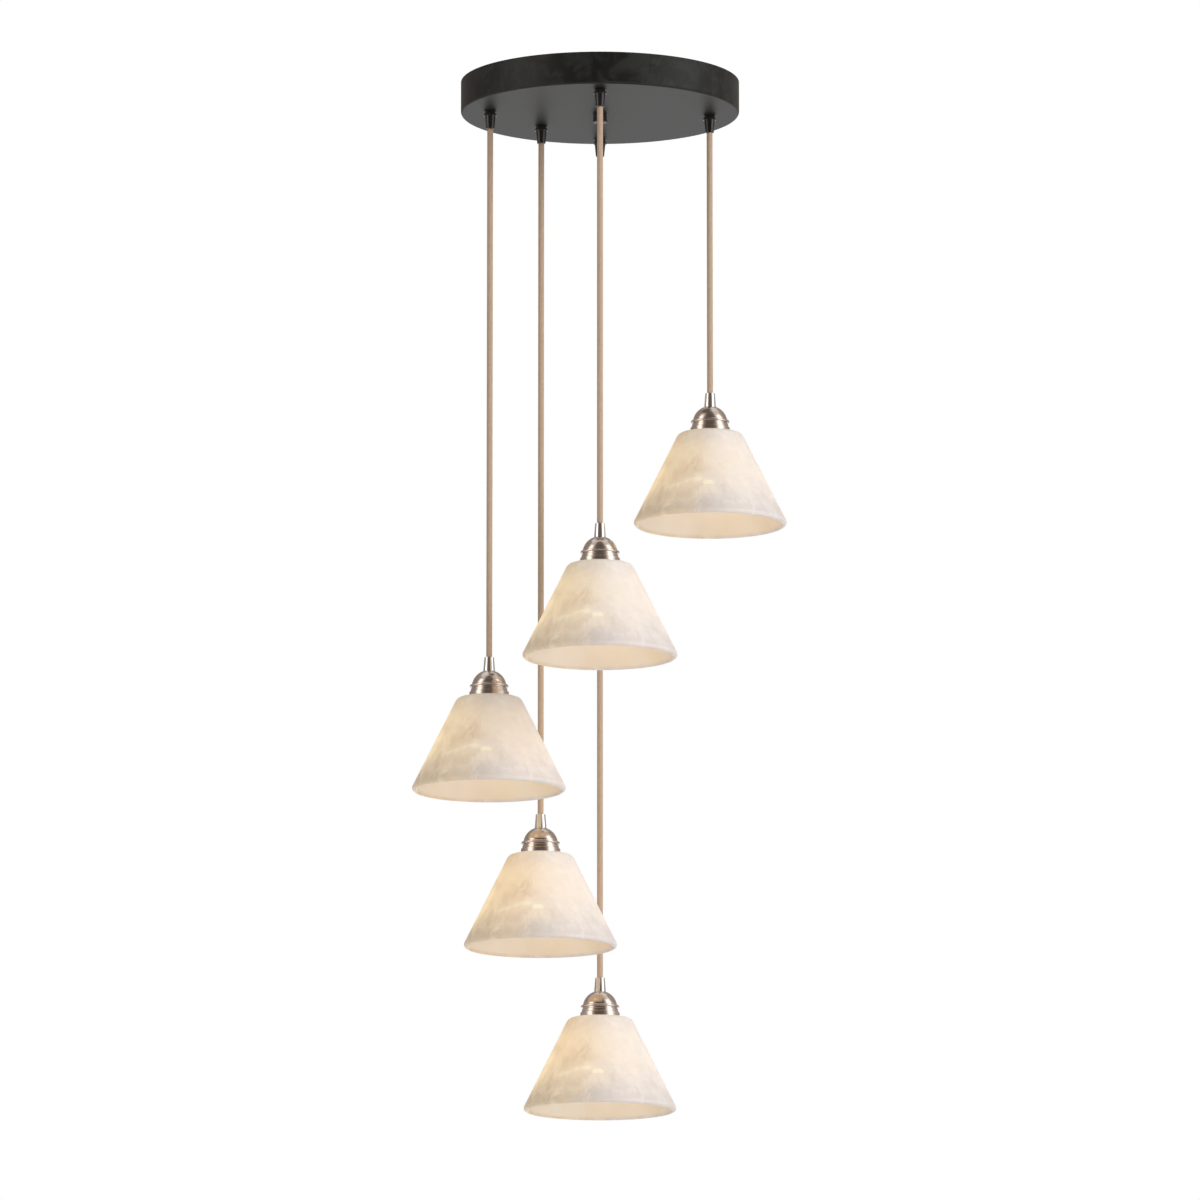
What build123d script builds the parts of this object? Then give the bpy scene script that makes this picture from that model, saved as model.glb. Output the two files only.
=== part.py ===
from build123d import *
import math
import os

# Five-lamp cluster pendant: a round ceiling canopy, five cloth-covered cords of different lengths,
# and a conical translucent shade on each. Millimetres and degrees.
# The origin is on the ceiling, midway between the crossbar's two slots. +X is right, +Y is away
# from the viewer, +Z is up, so every piece hangs below Z = 0.
# Heights inside a lamp are counted from the top face of its shade.

# ---- Driving dimensions ----

# Clearances
SLIP = 0.1  # radial, round a thread or a cord in its hole
PIVOT_GAP = 0.3  # round the ball-shaped ends of a hanging cord
THREAD_DIAMETER = 9.8  # over the crests of every M10 thread
NUT_ACROSS_FLATS = 14.0
NUT_HEIGHT = 3.5
CREST_SHARE = 0.3  # of the pitch, on the ridges of the large threads
ROOT_SHARE = 0.1

# Canopy pan
CANOPY_DIAMETER = 330.0
CANOPY_HEIGHT = 38.0
CANOPY_SHEET = 1.2
CANOPY_CORNER_RADIUS = 3.0  # outside

# Crossbar, which the outlet box's two screws hold to the ceiling
BAR_LENGTH = 112.0
BAR_WIDTH = 22.0
BAR_THICKNESS = 2.5
SLOT_SPACING = 79.4
SLOT_LENGTH = 15.5
SLOT_WIDTH = 4.8
GROUND_SCREW_INSET = 20.0  # from the crossbar's middle
GROUND_SCREW_DIAMETER = 4.0
GROUND_HEAD_DIAMETER = 8.4
GROUND_HEAD_HEIGHT = 2.6
DRIVER_SLOT_WIDTH = 1.3

# Cap nut under the canopy
FINIAL_TOP_DIAMETER = 16.2
FINIAL_BOTTOM_DIAMETER = 17.4
FINIAL_HEIGHT = 10.3
FINIAL_ROUNDING = 1.0
FINIAL_FLOOR = 3.0  # solid metal below the blind hole
NIPPLE_BORE_DIAMETER = 6.0

# Black cord grips under the canopy
GRIP_THREAD_LENGTH = 7.5
GRIP_SHOULDER_DIAMETER = 11.8
SKIRT_DIAMETER = 15.8
SKIRT_HEIGHT = 5.1
SKIRT_EDGE = 1.0  # height of the skirt's upright edge
SKIRT_ROUNDING = 0.3
GRIP_BODY_DIAMETER = 13.0
GRIP_NOSE_DIAMETER = 9.9
GRIP_BODY_HEIGHT = 15.3
GRIP_NOSE_ROUNDING = 0.6

# Cords
CORD_DIAMETER = 7.0
TAIL_RISE = 2.5  # straight stretch above the grip, before the bend
TAIL_END_RADIUS = 60.0  # from the canopy's middle

# Conductors and splices inside the canopy
WIRE_DIAMETER = 2.0
WIRE_SPREAD = 4.0  # height between the two conductors of a cord
WIRE_BEND_RADIUS = 5.0
WIRE_PITCH = 3.0
INNER_RING_RADIUS = 14.0  # the smallest loop of the first conductors
OUTER_RING_RADIUS = 32.0  # the smallest loop of the second conductors
SPLICE_ANGLE = 300.0
SPLICE_LENGTH = 24.0
SPLICE_COLLAR_LENGTH = 10.0  # of the stretch that doesn't taper
SPLICE_CLEARANCE = 0.4
SPLICE_WALL = 1.2
SPLICE_HEADROOM = 2.9  # below the crossbar
SPLICE_TIP_DIAMETER = 9.0
SPLICE_MOUTH_DEPTH = 2.0

# Polished cord grip on the top of a lamp
CAP_GRIP_TOP_DIAMETER = 11.3
CAP_GRIP_BOTTOM_DIAMETER = 14.0
CAP_GRIP_HEIGHT = 16.7
CAP_GRIP_MOUTH_DIAMETER = 8.8
CAP_GRIP_MOUTH_DEPTH = 0.7
CAP_GRIP_ROUNDING = 0.4
SPIGOT_LENGTH = 7.0

# Brushed domed cap
CAP_HEIGHT = 31.0
CAP_WALL = 1.3
DOME_DIAMETER = 39.8
DOME_BASE_HEIGHT = 17.0
BEAD_DIAMETER = 45.4
BEAD_HEIGHT = 2.8
BEAD_ROUNDNESS = 0.9  # 1 is a full half round
WAIST_DIAMETER = 40.8
WAIST_HEIGHT = 1.8
RIB_DIAMETER = 43.0
RIB_HEIGHT = 3.6
FLANGE_DIAMETER = 46.4
FLANGE_HEIGHT = 6.6
EDGE_ROUNDING = 0.7

# Shade
SHADE_DIAMETER = 180.0  # over the widest part of the rim
SHADE_HEIGHT = 111.0
SHADE_WALL = 6.0
SHADE_SHOULDER_RADIUS = 9.4
SHADE_INNER_SHOULDER_RADIUS = 5.0
SHADE_LIP_RADIUS = 3.8
LIP_SHARE = 0.64  # the most of the wall that the lip's rounding may take
SHADE_HOLE_CLEARANCE = 0.7

# Lampholder, its screw shell and the ring that clamps the shade
SKIRT_THREAD_DIAMETER = 39.6
SKIRT_THREAD_LENGTH = 30.0
SKIRT_THREAD_PITCH = 2.5
SKIRT_THREAD_DEPTH = 0.7
HOLDER_BODY_DIAMETER = 36.4
HOLDER_HUB_DIAMETER = 14.0
HOLDER_HUB_HEIGHT = 2.4
HOLDER_DOME_ROUNDING = 4.5
HOLDER_DOME_FOOT = 13.0  # from the cap's ceiling down to the foot of the holder's dome
SHELL_DIAMETER = 28.0
SHELL_SHEET = 0.4
SHELL_LENGTH = 24.0
SHELL_RECESS = 4.0  # from the holder's lower edge up to the shell's
HOLDER_FLOOR = 5.5
CHAMBER_DIAMETER = 22.0
CHAMBER_DROP = 1.3  # from the polished grip's spigot down to the chamber
CHAMBER_TAPER = 5.5
CONTACT_DIAMETER = 8.0
CONTACT_THICKNESS = 1.2
LEAD_START_RISE = 2.6  # from the spigot's end up to where the leads leave the cord
LEAD_START_SPREAD = 3.2
LEAD_SPREAD = 14.0  # at the terminals
RING_DIAMETER = 54.0
RING_EDGE_CLEARANCE = 3.24  # out to where the shade's ceiling starts to round
RING_HEIGHT = 5.0
RING_ROUNDING = 1.2

# Bulb
BULB_BASE_DIAMETER = 26.4
BULB_BASE_LENGTH = 21.0
BULB_TIP_LENGTH = 3.2
BULB_TIP_DIAMETER = 8.6
BULB_BUTTON_HEIGHT = 1.1
BULB_THREAD_DEPTH = 0.9
BULB_THREAD_PITCH = 3.6
BULB_NECK_DIAMETER = 24.6
BULB_GLASS_DIAMETER = 50.0
BULB_GLASS_LENGTH = 54.0
BULB_GLASS_WALL = 0.8
BULB_JOINT_ANGLE = 48.0  # above the widest level, where the neck meets the globe

# Where each pendant hangs: its direction from the canopy's middle, how far inside the canopy's edge
# it is, and how far below the ceiling the mouth of its polished grip is.
PENDANT_ANGLES = {1: 4.4, 2: 270.0, 3: 185.3, 4: 135.8, 5: 90.0}
INSET_1 = 34.6
INSET_2 = 34.0
INSET_3 = 34.4
INSET_4 = 67.4
INSET_5 = 25.0
DROP_1 = 373.5
DROP_2 = 555.5
DROP_3 = 693.5
DROP_4 = 867.5
DROP_5 = 1052.0

# ---- Sizes that follow ----

TINY = 0.001  # shortest straight between two roundings
PENDANT_INSETS = {1: INSET_1, 2: INSET_2, 3: INSET_3, 4: INSET_4, 5: INSET_5}
PENDANT_DROPS = {1: DROP_1, 2: DROP_2, 3: DROP_3, 4: DROP_4, 5: DROP_5}
CORD_RADIUS = CORD_DIAMETER / 2
CORD_BORE = CORD_RADIUS + SLIP
THREAD_RADIUS = THREAD_DIAMETER / 2
THREAD_BORE = THREAD_RADIUS + SLIP
CANOPY_FLOOR = -CANOPY_HEIGHT + CANOPY_SHEET
GRIP_NOSE_Z = -CANOPY_HEIGHT - SKIRT_HEIGHT - GRIP_BODY_HEIGHT
SWING_Z = GRIP_NOSE_Z - PIVOT_GAP - CORD_RADIUS
WIRE_HALF_SPREAD = (len(PENDANT_ANGLES) - 1) * WIRE_PITCH / 2  # across one ring of conductors
SPLICE_MOUTH_RADIUS = WIRE_HALF_SPREAD + WIRE_DIAMETER / 2 + SPLICE_CLEARANCE
SPLICE_RADIUS = SPLICE_MOUTH_RADIUS + SPLICE_WALL
TAIL_Z = -BAR_THICKNESS - SPLICE_HEADROOM - SPLICE_RADIUS - WIRE_SPREAD / 2
TAIL_BEND_RADIUS = TAIL_Z + CANOPY_HEIGHT - GRIP_THREAD_LENGTH - TAIL_RISE
MOUTH_HEIGHT = CAP_HEIGHT + CAP_GRIP_HEIGHT
CAP_CEILING = CAP_HEIGHT - CAP_WALL
DOME_RADIUS = DOME_DIAMETER / 2
HOLDER_TOP = CAP_CEILING
HOLDER_BOTTOM = FLANGE_HEIGHT / 2 - SKIRT_THREAD_LENGTH
SHELL_BOTTOM = HOLDER_BOTTOM + SHELL_RECESS
SHELL_TOP = SHELL_BOTTOM + SHELL_LENGTH
FLOOR_BOTTOM = SHELL_TOP + CONTACT_THICKNESS
FLOOR_TOP = FLOOR_BOTTOM + HOLDER_FLOOR
SPIGOT_BOTTOM = CAP_HEIGHT - SPIGOT_LENGTH
BULB_TOP = SHELL_TOP
BULB_SHOULDER = BULB_TOP - BULB_TIP_LENGTH
BULB_BASE_BOTTOM = BULB_SHOULDER - BULB_BASE_LENGTH
SHADE_HOLE_RADIUS = SKIRT_THREAD_DIAMETER / 2 + SHADE_HOLE_CLEARANCE

# The shade's straight side touches two circles: one round the inner shoulder, a wall's thickness
# outside it, and the rounding of the lip.
SHADE_LIP = min(SHADE_LIP_RADIUS, LIP_SHARE * SHADE_WALL)
SHOULDER_CIRCLE = SHADE_INNER_SHOULDER_RADIUS + SHADE_WALL
SHOULDER_ACROSS = RING_DIAMETER / 2 + RING_EDGE_CLEARANCE
LIP_ACROSS = SHADE_DIAMETER / 2 - SHADE_LIP - SHOULDER_ACROSS
LIP_DOWN = SHADE_HEIGHT - SHADE_LIP - SHOULDER_CIRCLE
SHADE_LEAN = math.atan2(LIP_ACROSS, LIP_DOWN) - math.asin(
    (SHOULDER_CIRCLE - SHADE_LIP) / math.hypot(LIP_ACROSS, LIP_DOWN)
)
SHADE_SLOPE = math.tan(SHADE_LEAN)  # growth of the radius for each millimetre down
SHADE_WALL_ACROSS = SHADE_WALL / math.cos(SHADE_LEAN)  # measured level
SHADE_TOP_RADIUS = SHOULDER_ACROSS - SHOULDER_CIRCLE * SHADE_SLOPE + SHOULDER_CIRCLE / math.cos(SHADE_LEAN)


def place(number):
    """Point on the ceiling above pendant number."""
    distance = CANOPY_DIAMETER / 2 - PENDANT_INSETS[number]
    turn = math.radians(PENDANT_ANGLES[number])
    return Vector(distance * math.cos(turn), distance * math.sin(turn), 0)


def outline(*corners):
    """Closed edges in the XZ plane through (radius, height) or (radius, height, rounding) corners.

    A Vector between two corners is a point that the edge between them bends through.
    """
    points, roundings, bends = [], [], {}
    for corner in corners:
        if isinstance(corner, Vector):
            bends[len(points) - 1] = corner
        else:
            points.append(Vector(corner[0], 0, corner[1]))
            roundings.append(corner[2] if len(corner) > 2 else 0)
    entries, exits, middles = [], [], []
    for i, corner in enumerate(points):
        back = (points[i - 1] - corner).normalized()
        ahead = (points[(i + 1) % len(points)] - corner).normalized()
        half = math.radians(back.get_angle(ahead)) / 2
        reach = roundings[i] / math.tan(half) if roundings[i] else 0
        entries.append(corner + back * reach)
        exits.append(corner + ahead * reach)
        bisector = (back + ahead).normalized() if roundings[i] else back
        depth = roundings[i] / math.sin(half) - roundings[i] if roundings[i] else 0
        middles.append(corner + bisector * depth)
    edges = []
    for i in range(len(points)):
        if roundings[i]:
            edges.append(ThreePointArc(entries[i], middles[i], exits[i]))
        following = entries[(i + 1) % len(points)]
        if i in bends:
            edges.append(ThreePointArc(exits[i], bends[i], following))
        elif (following - exits[i]).length > TINY:
            edges.append(Line(exits[i], following))
    return edges


def turned(*corners):
    """Solid of revolution about Z from an outline's corners."""
    return revolve(make_face(outline(*corners)), Axis.Z, 360)


def tube(path, diameter):
    """Round tube swept along a path."""
    return sweep(Plane(path @ 0, z_dir=path % 0) * Circle(diameter / 2), path=path)


def thread_corners(radius, depth, pitch, top, bottom):
    """Corners of parallel ridges on the outside of a turned piece, from the top down."""
    turns = max(1, int((top - bottom) / pitch) - 1)
    first = top - ((top - bottom) - turns * pitch) / 2
    corners = [(radius, top)]
    for turn in range(turns):
        middle = first - (turn + 0.5) * pitch
        half_root = pitch * ROOT_SHARE / 2
        half_gap = pitch * (1 - CREST_SHARE) / 2
        corners += [
            (radius, middle + half_gap),
            (radius - depth, middle + half_root),
            (radius - depth, middle - half_root),
            (radius, middle - half_gap),
        ]
    return corners + [(radius, bottom)]


# ---- Canopy and what is fixed to it ----


def canopy_pan():
    """Spun steel pan, open at the top, with a hole for each grip and for the nipple."""
    outer = CANOPY_DIAMETER / 2
    inner = outer - CANOPY_SHEET
    pan = turned(
        (0, -CANOPY_HEIGHT),
        (outer, -CANOPY_HEIGHT, CANOPY_CORNER_RADIUS),
        (outer, 0),
        (inner, 0),
        (inner, CANOPY_FLOOR, CANOPY_CORNER_RADIUS - CANOPY_SHEET),
        (0, CANOPY_FLOOR),
    )
    drill = Cylinder(THREAD_BORE, 3 * CANOPY_SHEET)
    for spot in [Vector(0, 0, 0)] + [place(n) for n in PENDANT_ANGLES]:
        pan -= Pos(spot.X, spot.Y, CANOPY_FLOOR) * drill
    return pan


def crossbar():
    """Flat strap with round ends, two slots, the nipple's hole and the ground screw's hole."""
    bar = extrude(SlotOverall(BAR_LENGTH, BAR_WIDTH), -BAR_THICKNESS)
    slot = extrude(SlotOverall(SLOT_LENGTH, SLOT_WIDTH), -BAR_THICKNESS)
    for side in (-1, 1):
        bar -= Pos(side * SLOT_SPACING / 2, 0, 0) * slot
    bar -= Cylinder(THREAD_BORE, 3 * BAR_THICKNESS)
    bar -= Pos(-GROUND_SCREW_INSET, 0, 0) * Cylinder(GROUND_SCREW_DIAMETER / 2 + SLIP, 3 * BAR_THICKNESS)
    return bar


def ground_screw():
    """Screw in the crossbar for the house's ground wire."""
    bottom = -BAR_THICKNESS - GROUND_HEAD_HEIGHT
    screw = turned(
        (0, 0),
        (GROUND_SCREW_DIAMETER / 2, 0),
        (GROUND_SCREW_DIAMETER / 2, -BAR_THICKNESS),
        (GROUND_HEAD_DIAMETER / 2, -BAR_THICKNESS),
        (GROUND_HEAD_DIAMETER / 2, bottom, EDGE_ROUNDING),
        (0, bottom),
    )
    screw -= Pos(0, 0, bottom) * Box(GROUND_HEAD_DIAMETER, DRIVER_SLOT_WIDTH, GROUND_HEAD_HEIGHT)
    return Pos(-GROUND_SCREW_INSET, 0, 0) * screw


def center_nipple():
    """Threaded tube from the crossbar down into the cap nut."""
    bottom = -CANOPY_HEIGHT - FINIAL_HEIGHT + FINIAL_FLOOR
    bore = NIPPLE_BORE_DIAMETER / 2
    return turned((bore, 0), (THREAD_RADIUS, 0), (THREAD_RADIUS, bottom), (bore, bottom))


def canopy_finial():
    """Cap nut that draws the pan up against the ceiling."""
    bottom = -CANOPY_HEIGHT - FINIAL_HEIGHT
    return turned(
        (THREAD_BORE, -CANOPY_HEIGHT),
        (FINIAL_TOP_DIAMETER / 2, -CANOPY_HEIGHT),
        (FINIAL_BOTTOM_DIAMETER / 2, bottom, FINIAL_ROUNDING),
        (0, bottom),
        (0, bottom + FINIAL_FLOOR),
        (THREAD_BORE, bottom + FINIAL_FLOOR),
    )


def hex_nut():
    """M10 locknut standing on Z = 0."""
    nut = extrude(RegularPolygon(NUT_ACROSS_FLATS / 2, 6, major_radius=False), NUT_HEIGHT)
    return nut - Cylinder(THREAD_BORE, 3 * NUT_HEIGHT)


def locknuts():
    """One nut under the crossbar and one inside the pan on each cord grip."""
    nut = hex_nut()
    nuts = [Pos(0, 0, -BAR_THICKNESS - NUT_HEIGHT) * nut]
    for number in PENDANT_ANGLES:
        spot = place(number)
        nuts.append(Pos(spot.X, spot.Y, CANOPY_FLOOR) * nut)
    return Compound(children=nuts)


def cord_grips():
    """Five black grips: thread through the pan, flared skirt and tapered body."""
    skirt_bottom = -CANOPY_HEIGHT - SKIRT_HEIGHT
    grip = turned(
        (CORD_BORE, -CANOPY_HEIGHT + GRIP_THREAD_LENGTH),
        (THREAD_RADIUS, -CANOPY_HEIGHT + GRIP_THREAD_LENGTH),
        (THREAD_RADIUS, -CANOPY_HEIGHT),
        (GRIP_SHOULDER_DIAMETER / 2, -CANOPY_HEIGHT),
        (SKIRT_DIAMETER / 2, skirt_bottom + SKIRT_EDGE),
        (SKIRT_DIAMETER / 2, skirt_bottom, SKIRT_ROUNDING),
        (GRIP_BODY_DIAMETER / 2, skirt_bottom),
        (GRIP_NOSE_DIAMETER / 2, GRIP_NOSE_Z, GRIP_NOSE_ROUNDING),
        (CORD_BORE, GRIP_NOSE_Z),
    )
    grips = []
    for number in PENDANT_ANGLES:
        spot = place(number)
        grips.append(Pos(spot.X, spot.Y, 0) * grip)
    return Compound(children=grips)


def cord_tails():
    """The cords' ends inside the canopy: up through each grip and round towards the middle."""
    tails = []
    for number in PENDANT_ANGLES:
        spot = place(number)
        inward = spot.normalized() * TAIL_END_RADIUS
        path = FilletPolyline(
            (spot.X, spot.Y, GRIP_NOSE_Z),
            (spot.X, spot.Y, TAIL_Z),
            (inward.X, inward.Y, TAIL_Z),
            radius=TAIL_BEND_RADIUS,
        )
        tails.append(tube(path, CORD_DIAMETER))
    return Compound(children=tails)


def loop_order():
    """Pendant numbers from the one whose conductors travel furthest round to the splice."""
    travel = {n: (SPLICE_ANGLE - a) % 360 for n, a in PENDANT_ANGLES.items()}
    return sorted(travel, key=travel.get, reverse=True)


def conductor(number, loop_radius, height):
    """Path of one wire: inward from its tail, then round the nipple to the splice."""
    bend = WIRE_BEND_RADIUS
    straight_end = math.sqrt((loop_radius + bend) ** 2 - bend**2)
    lean = math.degrees(math.atan2(bend, straight_end))
    middle = math.radians(-90 - (90 - lean) / 2)
    start = Vector(TAIL_END_RADIUS, 0, height)
    turn_in = Vector(straight_end, 0, height)
    halfway = Vector(straight_end + bend * math.cos(middle), bend + bend * math.sin(middle), height)
    travel = (SPLICE_ANGLE - PENDANT_ANGLES[number]) % 360
    loop = [Vector(loop_radius, 0, height).rotate(Axis.Z, a) for a in (lean, (lean + travel) / 2, travel)]
    path = Line(start, turn_in) + ThreePointArc(turn_in, halfway, loop[0]) + ThreePointArc(*loop)
    return Rot(0, 0, PENDANT_ANGLES[number]) * path


def lead_wires():
    """The two conductors of each cord, in rings that never cross, to the two splices."""
    wires = []
    for step, number in enumerate(loop_order()):
        for first_radius, side in ((INNER_RING_RADIUS, 1), (OUTER_RING_RADIUS, -1)):
            path = conductor(number, first_radius + step * WIRE_PITCH, TAIL_Z + side * WIRE_SPREAD / 2)
            wires.append(tube(path, WIRE_DIAMETER))
    return Compound(children=wires)


def wire_connectors():
    """Two splices, each over the ends of one ring of conductors."""
    splice = turned(
        (0, 0),
        (SPLICE_MOUTH_RADIUS, 0),
        (SPLICE_MOUTH_RADIUS, -SPLICE_MOUTH_DEPTH),
        (SPLICE_RADIUS, -SPLICE_MOUTH_DEPTH),
        (SPLICE_RADIUS, SPLICE_COLLAR_LENGTH - SPLICE_MOUTH_DEPTH),
        (SPLICE_TIP_DIAMETER / 2, SPLICE_LENGTH - SPLICE_MOUTH_DEPTH, SPLICE_WALL),
        (0, SPLICE_LENGTH - SPLICE_MOUTH_DEPTH),
    )
    splices = []
    for first_radius, side in ((INNER_RING_RADIUS, 1), (OUTER_RING_RADIUS, -1)):
        seat = Pos(first_radius + WIRE_HALF_SPREAD, 0, TAIL_Z + side * WIRE_SPREAD / 2) * Rot(-90, 0, 0)
        splices.append(Rot(0, 0, SPLICE_ANGLE) * seat * splice)
    return Compound(children=splices)


# ---- One pendant: pieces in the lamp's own frame, with Z = 0 at the shade's top face ----


def cord(number):
    """Hanging cord from under its black grip to the mouth of the lamp, with ball-shaped ends."""
    top = SWING_Z
    bottom = -PENDANT_DROPS[number]
    spot = place(number)
    shape = Pos(0, 0, (top + bottom) / 2) * Cylinder(CORD_RADIUS, top - bottom)
    shape += Pos(0, 0, top) * Sphere(CORD_RADIUS)
    shape += Pos(0, 0, bottom) * Sphere(CORD_RADIUS)
    return Pos(spot.X, spot.Y, 0) * shape


def cap_grip():
    """Polished tapered grip with a threaded spigot, and a ball-shaped seat for the cord's end."""
    grip = turned(
        (CORD_BORE, MOUTH_HEIGHT - CAP_GRIP_MOUTH_DEPTH),
        (CAP_GRIP_MOUTH_DIAMETER / 2, MOUTH_HEIGHT),
        (CAP_GRIP_TOP_DIAMETER / 2, MOUTH_HEIGHT, CAP_GRIP_ROUNDING),
        (CAP_GRIP_BOTTOM_DIAMETER / 2, CAP_HEIGHT, CAP_GRIP_ROUNDING),
        (THREAD_RADIUS, CAP_HEIGHT),
        (THREAD_RADIUS, SPIGOT_BOTTOM),
        (CORD_BORE, SPIGOT_BOTTOM),
    )
    return grip - Pos(0, 0, MOUTH_HEIGHT) * Sphere(CORD_RADIUS + PIVOT_GAP)


def dome_arc(radius, wall, foot):
    """Rounded dome from its foot up to a flat of the grip's width, as one arc inset by wall."""
    flat_radius = CAP_GRIP_BOTTOM_DIAMETER / 2 + EDGE_ROUNDING
    rise = CAP_HEIGHT - foot
    middle_height = foot + (rise**2 + flat_radius**2 - radius**2) / (2 * rise)
    sphere = math.hypot(radius, middle_height - foot) - wall
    start = Vector(math.sqrt(sphere**2 - (foot - middle_height) ** 2), 0, foot)
    end_height = CAP_HEIGHT - wall
    end = Vector(math.sqrt(sphere**2 - (end_height - middle_height) ** 2), 0, end_height)
    along = (math.atan2(start.Z - middle_height, start.X) + math.atan2(end.Z - middle_height, end.X)) / 2
    halfway = Vector(sphere * math.cos(along), 0, middle_height + sphere * math.sin(along))
    return start, halfway, end


def socket_cap():
    """Pressed cap: domed top, bead, waist, rib and the flange that sits on the shade."""
    rib_foot = FLANGE_HEIGHT
    waist_foot = rib_foot + RIB_HEIGHT
    bead_foot = waist_foot + WAIST_HEIGHT
    bead_top = bead_foot + BEAD_HEIGHT
    bead_rounding = BEAD_HEIGHT * BEAD_ROUNDNESS / 2
    start, halfway, end = dome_arc(DOME_RADIUS, 0, DOME_BASE_HEIGHT)
    in_start, in_halfway, in_end = dome_arc(DOME_RADIUS, CAP_WALL, DOME_BASE_HEIGHT)
    shell_inner = WAIST_DIAMETER / 2 - CAP_WALL
    flange_inner = FLANGE_DIAMETER / 2 - CAP_WALL
    return turned(
        (THREAD_BORE, end.Z),
        (end.X, end.Z),
        halfway,
        (start.X, start.Z),
        (start.X, bead_top),
        (BEAD_DIAMETER / 2, bead_top, bead_rounding),
        (BEAD_DIAMETER / 2, bead_foot, bead_rounding),
        (WAIST_DIAMETER / 2, bead_foot),
        (WAIST_DIAMETER / 2, waist_foot),
        (RIB_DIAMETER / 2, waist_foot, EDGE_ROUNDING),
        (RIB_DIAMETER / 2, rib_foot),
        (FLANGE_DIAMETER / 2, rib_foot, EDGE_ROUNDING),
        (FLANGE_DIAMETER / 2, 0),
        (flange_inner, 0),
        (flange_inner, rib_foot - CAP_WALL),
        (shell_inner, rib_foot - CAP_WALL),
        (shell_inner, DOME_BASE_HEIGHT - CAP_WALL),
        (in_start.X, in_start.Z),
        in_halfway,
        (in_end.X, in_end.Z),
        (THREAD_BORE, in_end.Z),
    )


def lampholder():
    """Moulded lampholder: hub, dome, body and threaded skirt, with a wiring chamber and a cup."""
    dome_foot = HOLDER_TOP - HOLDER_DOME_FOOT
    body = HOLDER_BODY_DIAMETER / 2
    skirt_top = FLANGE_HEIGHT / 2
    thread = SKIRT_THREAD_DIAMETER / 2
    hub = HOLDER_HUB_DIAMETER / 2
    cup = SHELL_DIAMETER / 2 + SLIP
    chamber_top = SPIGOT_BOTTOM - CHAMBER_DROP
    return turned(
        (THREAD_BORE, HOLDER_TOP),
        (hub, HOLDER_TOP),
        (hub, HOLDER_TOP - HOLDER_HUB_HEIGHT),
        (body, dome_foot, HOLDER_DOME_ROUNDING),
        (body, skirt_top),
        *thread_corners(thread, SKIRT_THREAD_DEPTH, SKIRT_THREAD_PITCH, skirt_top, HOLDER_BOTTOM),
        (cup, HOLDER_BOTTOM),
        (cup, FLOOR_BOTTOM),
        (0, FLOOR_BOTTOM),
        (0, FLOOR_TOP),
        (CHAMBER_DIAMETER / 2, FLOOR_TOP),
        (CHAMBER_DIAMETER / 2, chamber_top - CHAMBER_TAPER),
        (THREAD_BORE, chamber_top),
    )


def screw_shell():
    """Brass shell that the bulb screws into, and the centre contact above it."""
    outer = SHELL_DIAMETER / 2
    shell = turned(
        (outer - SHELL_SHEET, SHELL_BOTTOM),
        (outer, SHELL_BOTTOM),
        (outer, SHELL_TOP),
        (outer - SHELL_SHEET, SHELL_TOP),
    )
    contact = Pos(0, 0, SHELL_TOP + CONTACT_THICKNESS / 2) * Cylinder(CONTACT_DIAMETER / 2, CONTACT_THICKNESS)
    return Compound(children=[shell, contact])


def lamp_lead():
    """The cord's clamped end inside the lamp, and its two leads down to the terminals."""
    top = MOUTH_HEIGHT - CORD_RADIUS - PIVOT_GAP
    bottom = SPIGOT_BOTTOM + LEAD_START_RISE
    lead = Pos(0, 0, (top + bottom) / 2) * Cylinder(CORD_RADIUS, top - bottom)
    straight = (bottom - FLOOR_TOP) / 3
    for side in (-1, 1):
        path = FilletPolyline(
            (side * LEAD_START_SPREAD / 2, 0, bottom),
            (side * LEAD_START_SPREAD / 2, 0, bottom - straight),
            (side * LEAD_SPREAD / 2, 0, FLOOR_TOP + straight),
            (side * LEAD_SPREAD / 2, 0, FLOOR_TOP),
            radius=WIRE_DIAMETER,
        )
        lead += tube(path, WIRE_DIAMETER)
    return lead


def shade_radius(height):
    """Outer radius of the shade's straight side, carried on past its roundings."""
    return SHADE_TOP_RADIUS - SHADE_SLOPE * height


def shade():
    """Thick conical shade with a flat top, a round shoulder and a rounded rim."""
    ceiling = -SHADE_WALL
    rim = shade_radius(-SHADE_HEIGHT)
    return turned(
        (SHADE_HOLE_RADIUS, 0),
        (shade_radius(0), 0, SHADE_SHOULDER_RADIUS),
        (rim, -SHADE_HEIGHT, SHADE_LIP),
        (rim - SHADE_WALL_ACROSS, -SHADE_HEIGHT),
        (shade_radius(ceiling) - SHADE_WALL_ACROSS, ceiling, SHADE_INNER_SHOULDER_RADIUS),
        (SHADE_HOLE_RADIUS, ceiling),
    )


def shade_ring():
    """Threaded ring that clamps the shade up against the cap's flange."""
    outer = RING_DIAMETER / 2
    return turned(
        (SKIRT_THREAD_DIAMETER / 2 + SLIP, -SHADE_WALL),
        (outer, -SHADE_WALL),
        (outer, -SHADE_WALL - RING_HEIGHT, RING_ROUNDING),
        (SKIRT_THREAD_DIAMETER / 2 + SLIP, -SHADE_WALL - RING_HEIGHT),
    )


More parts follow.
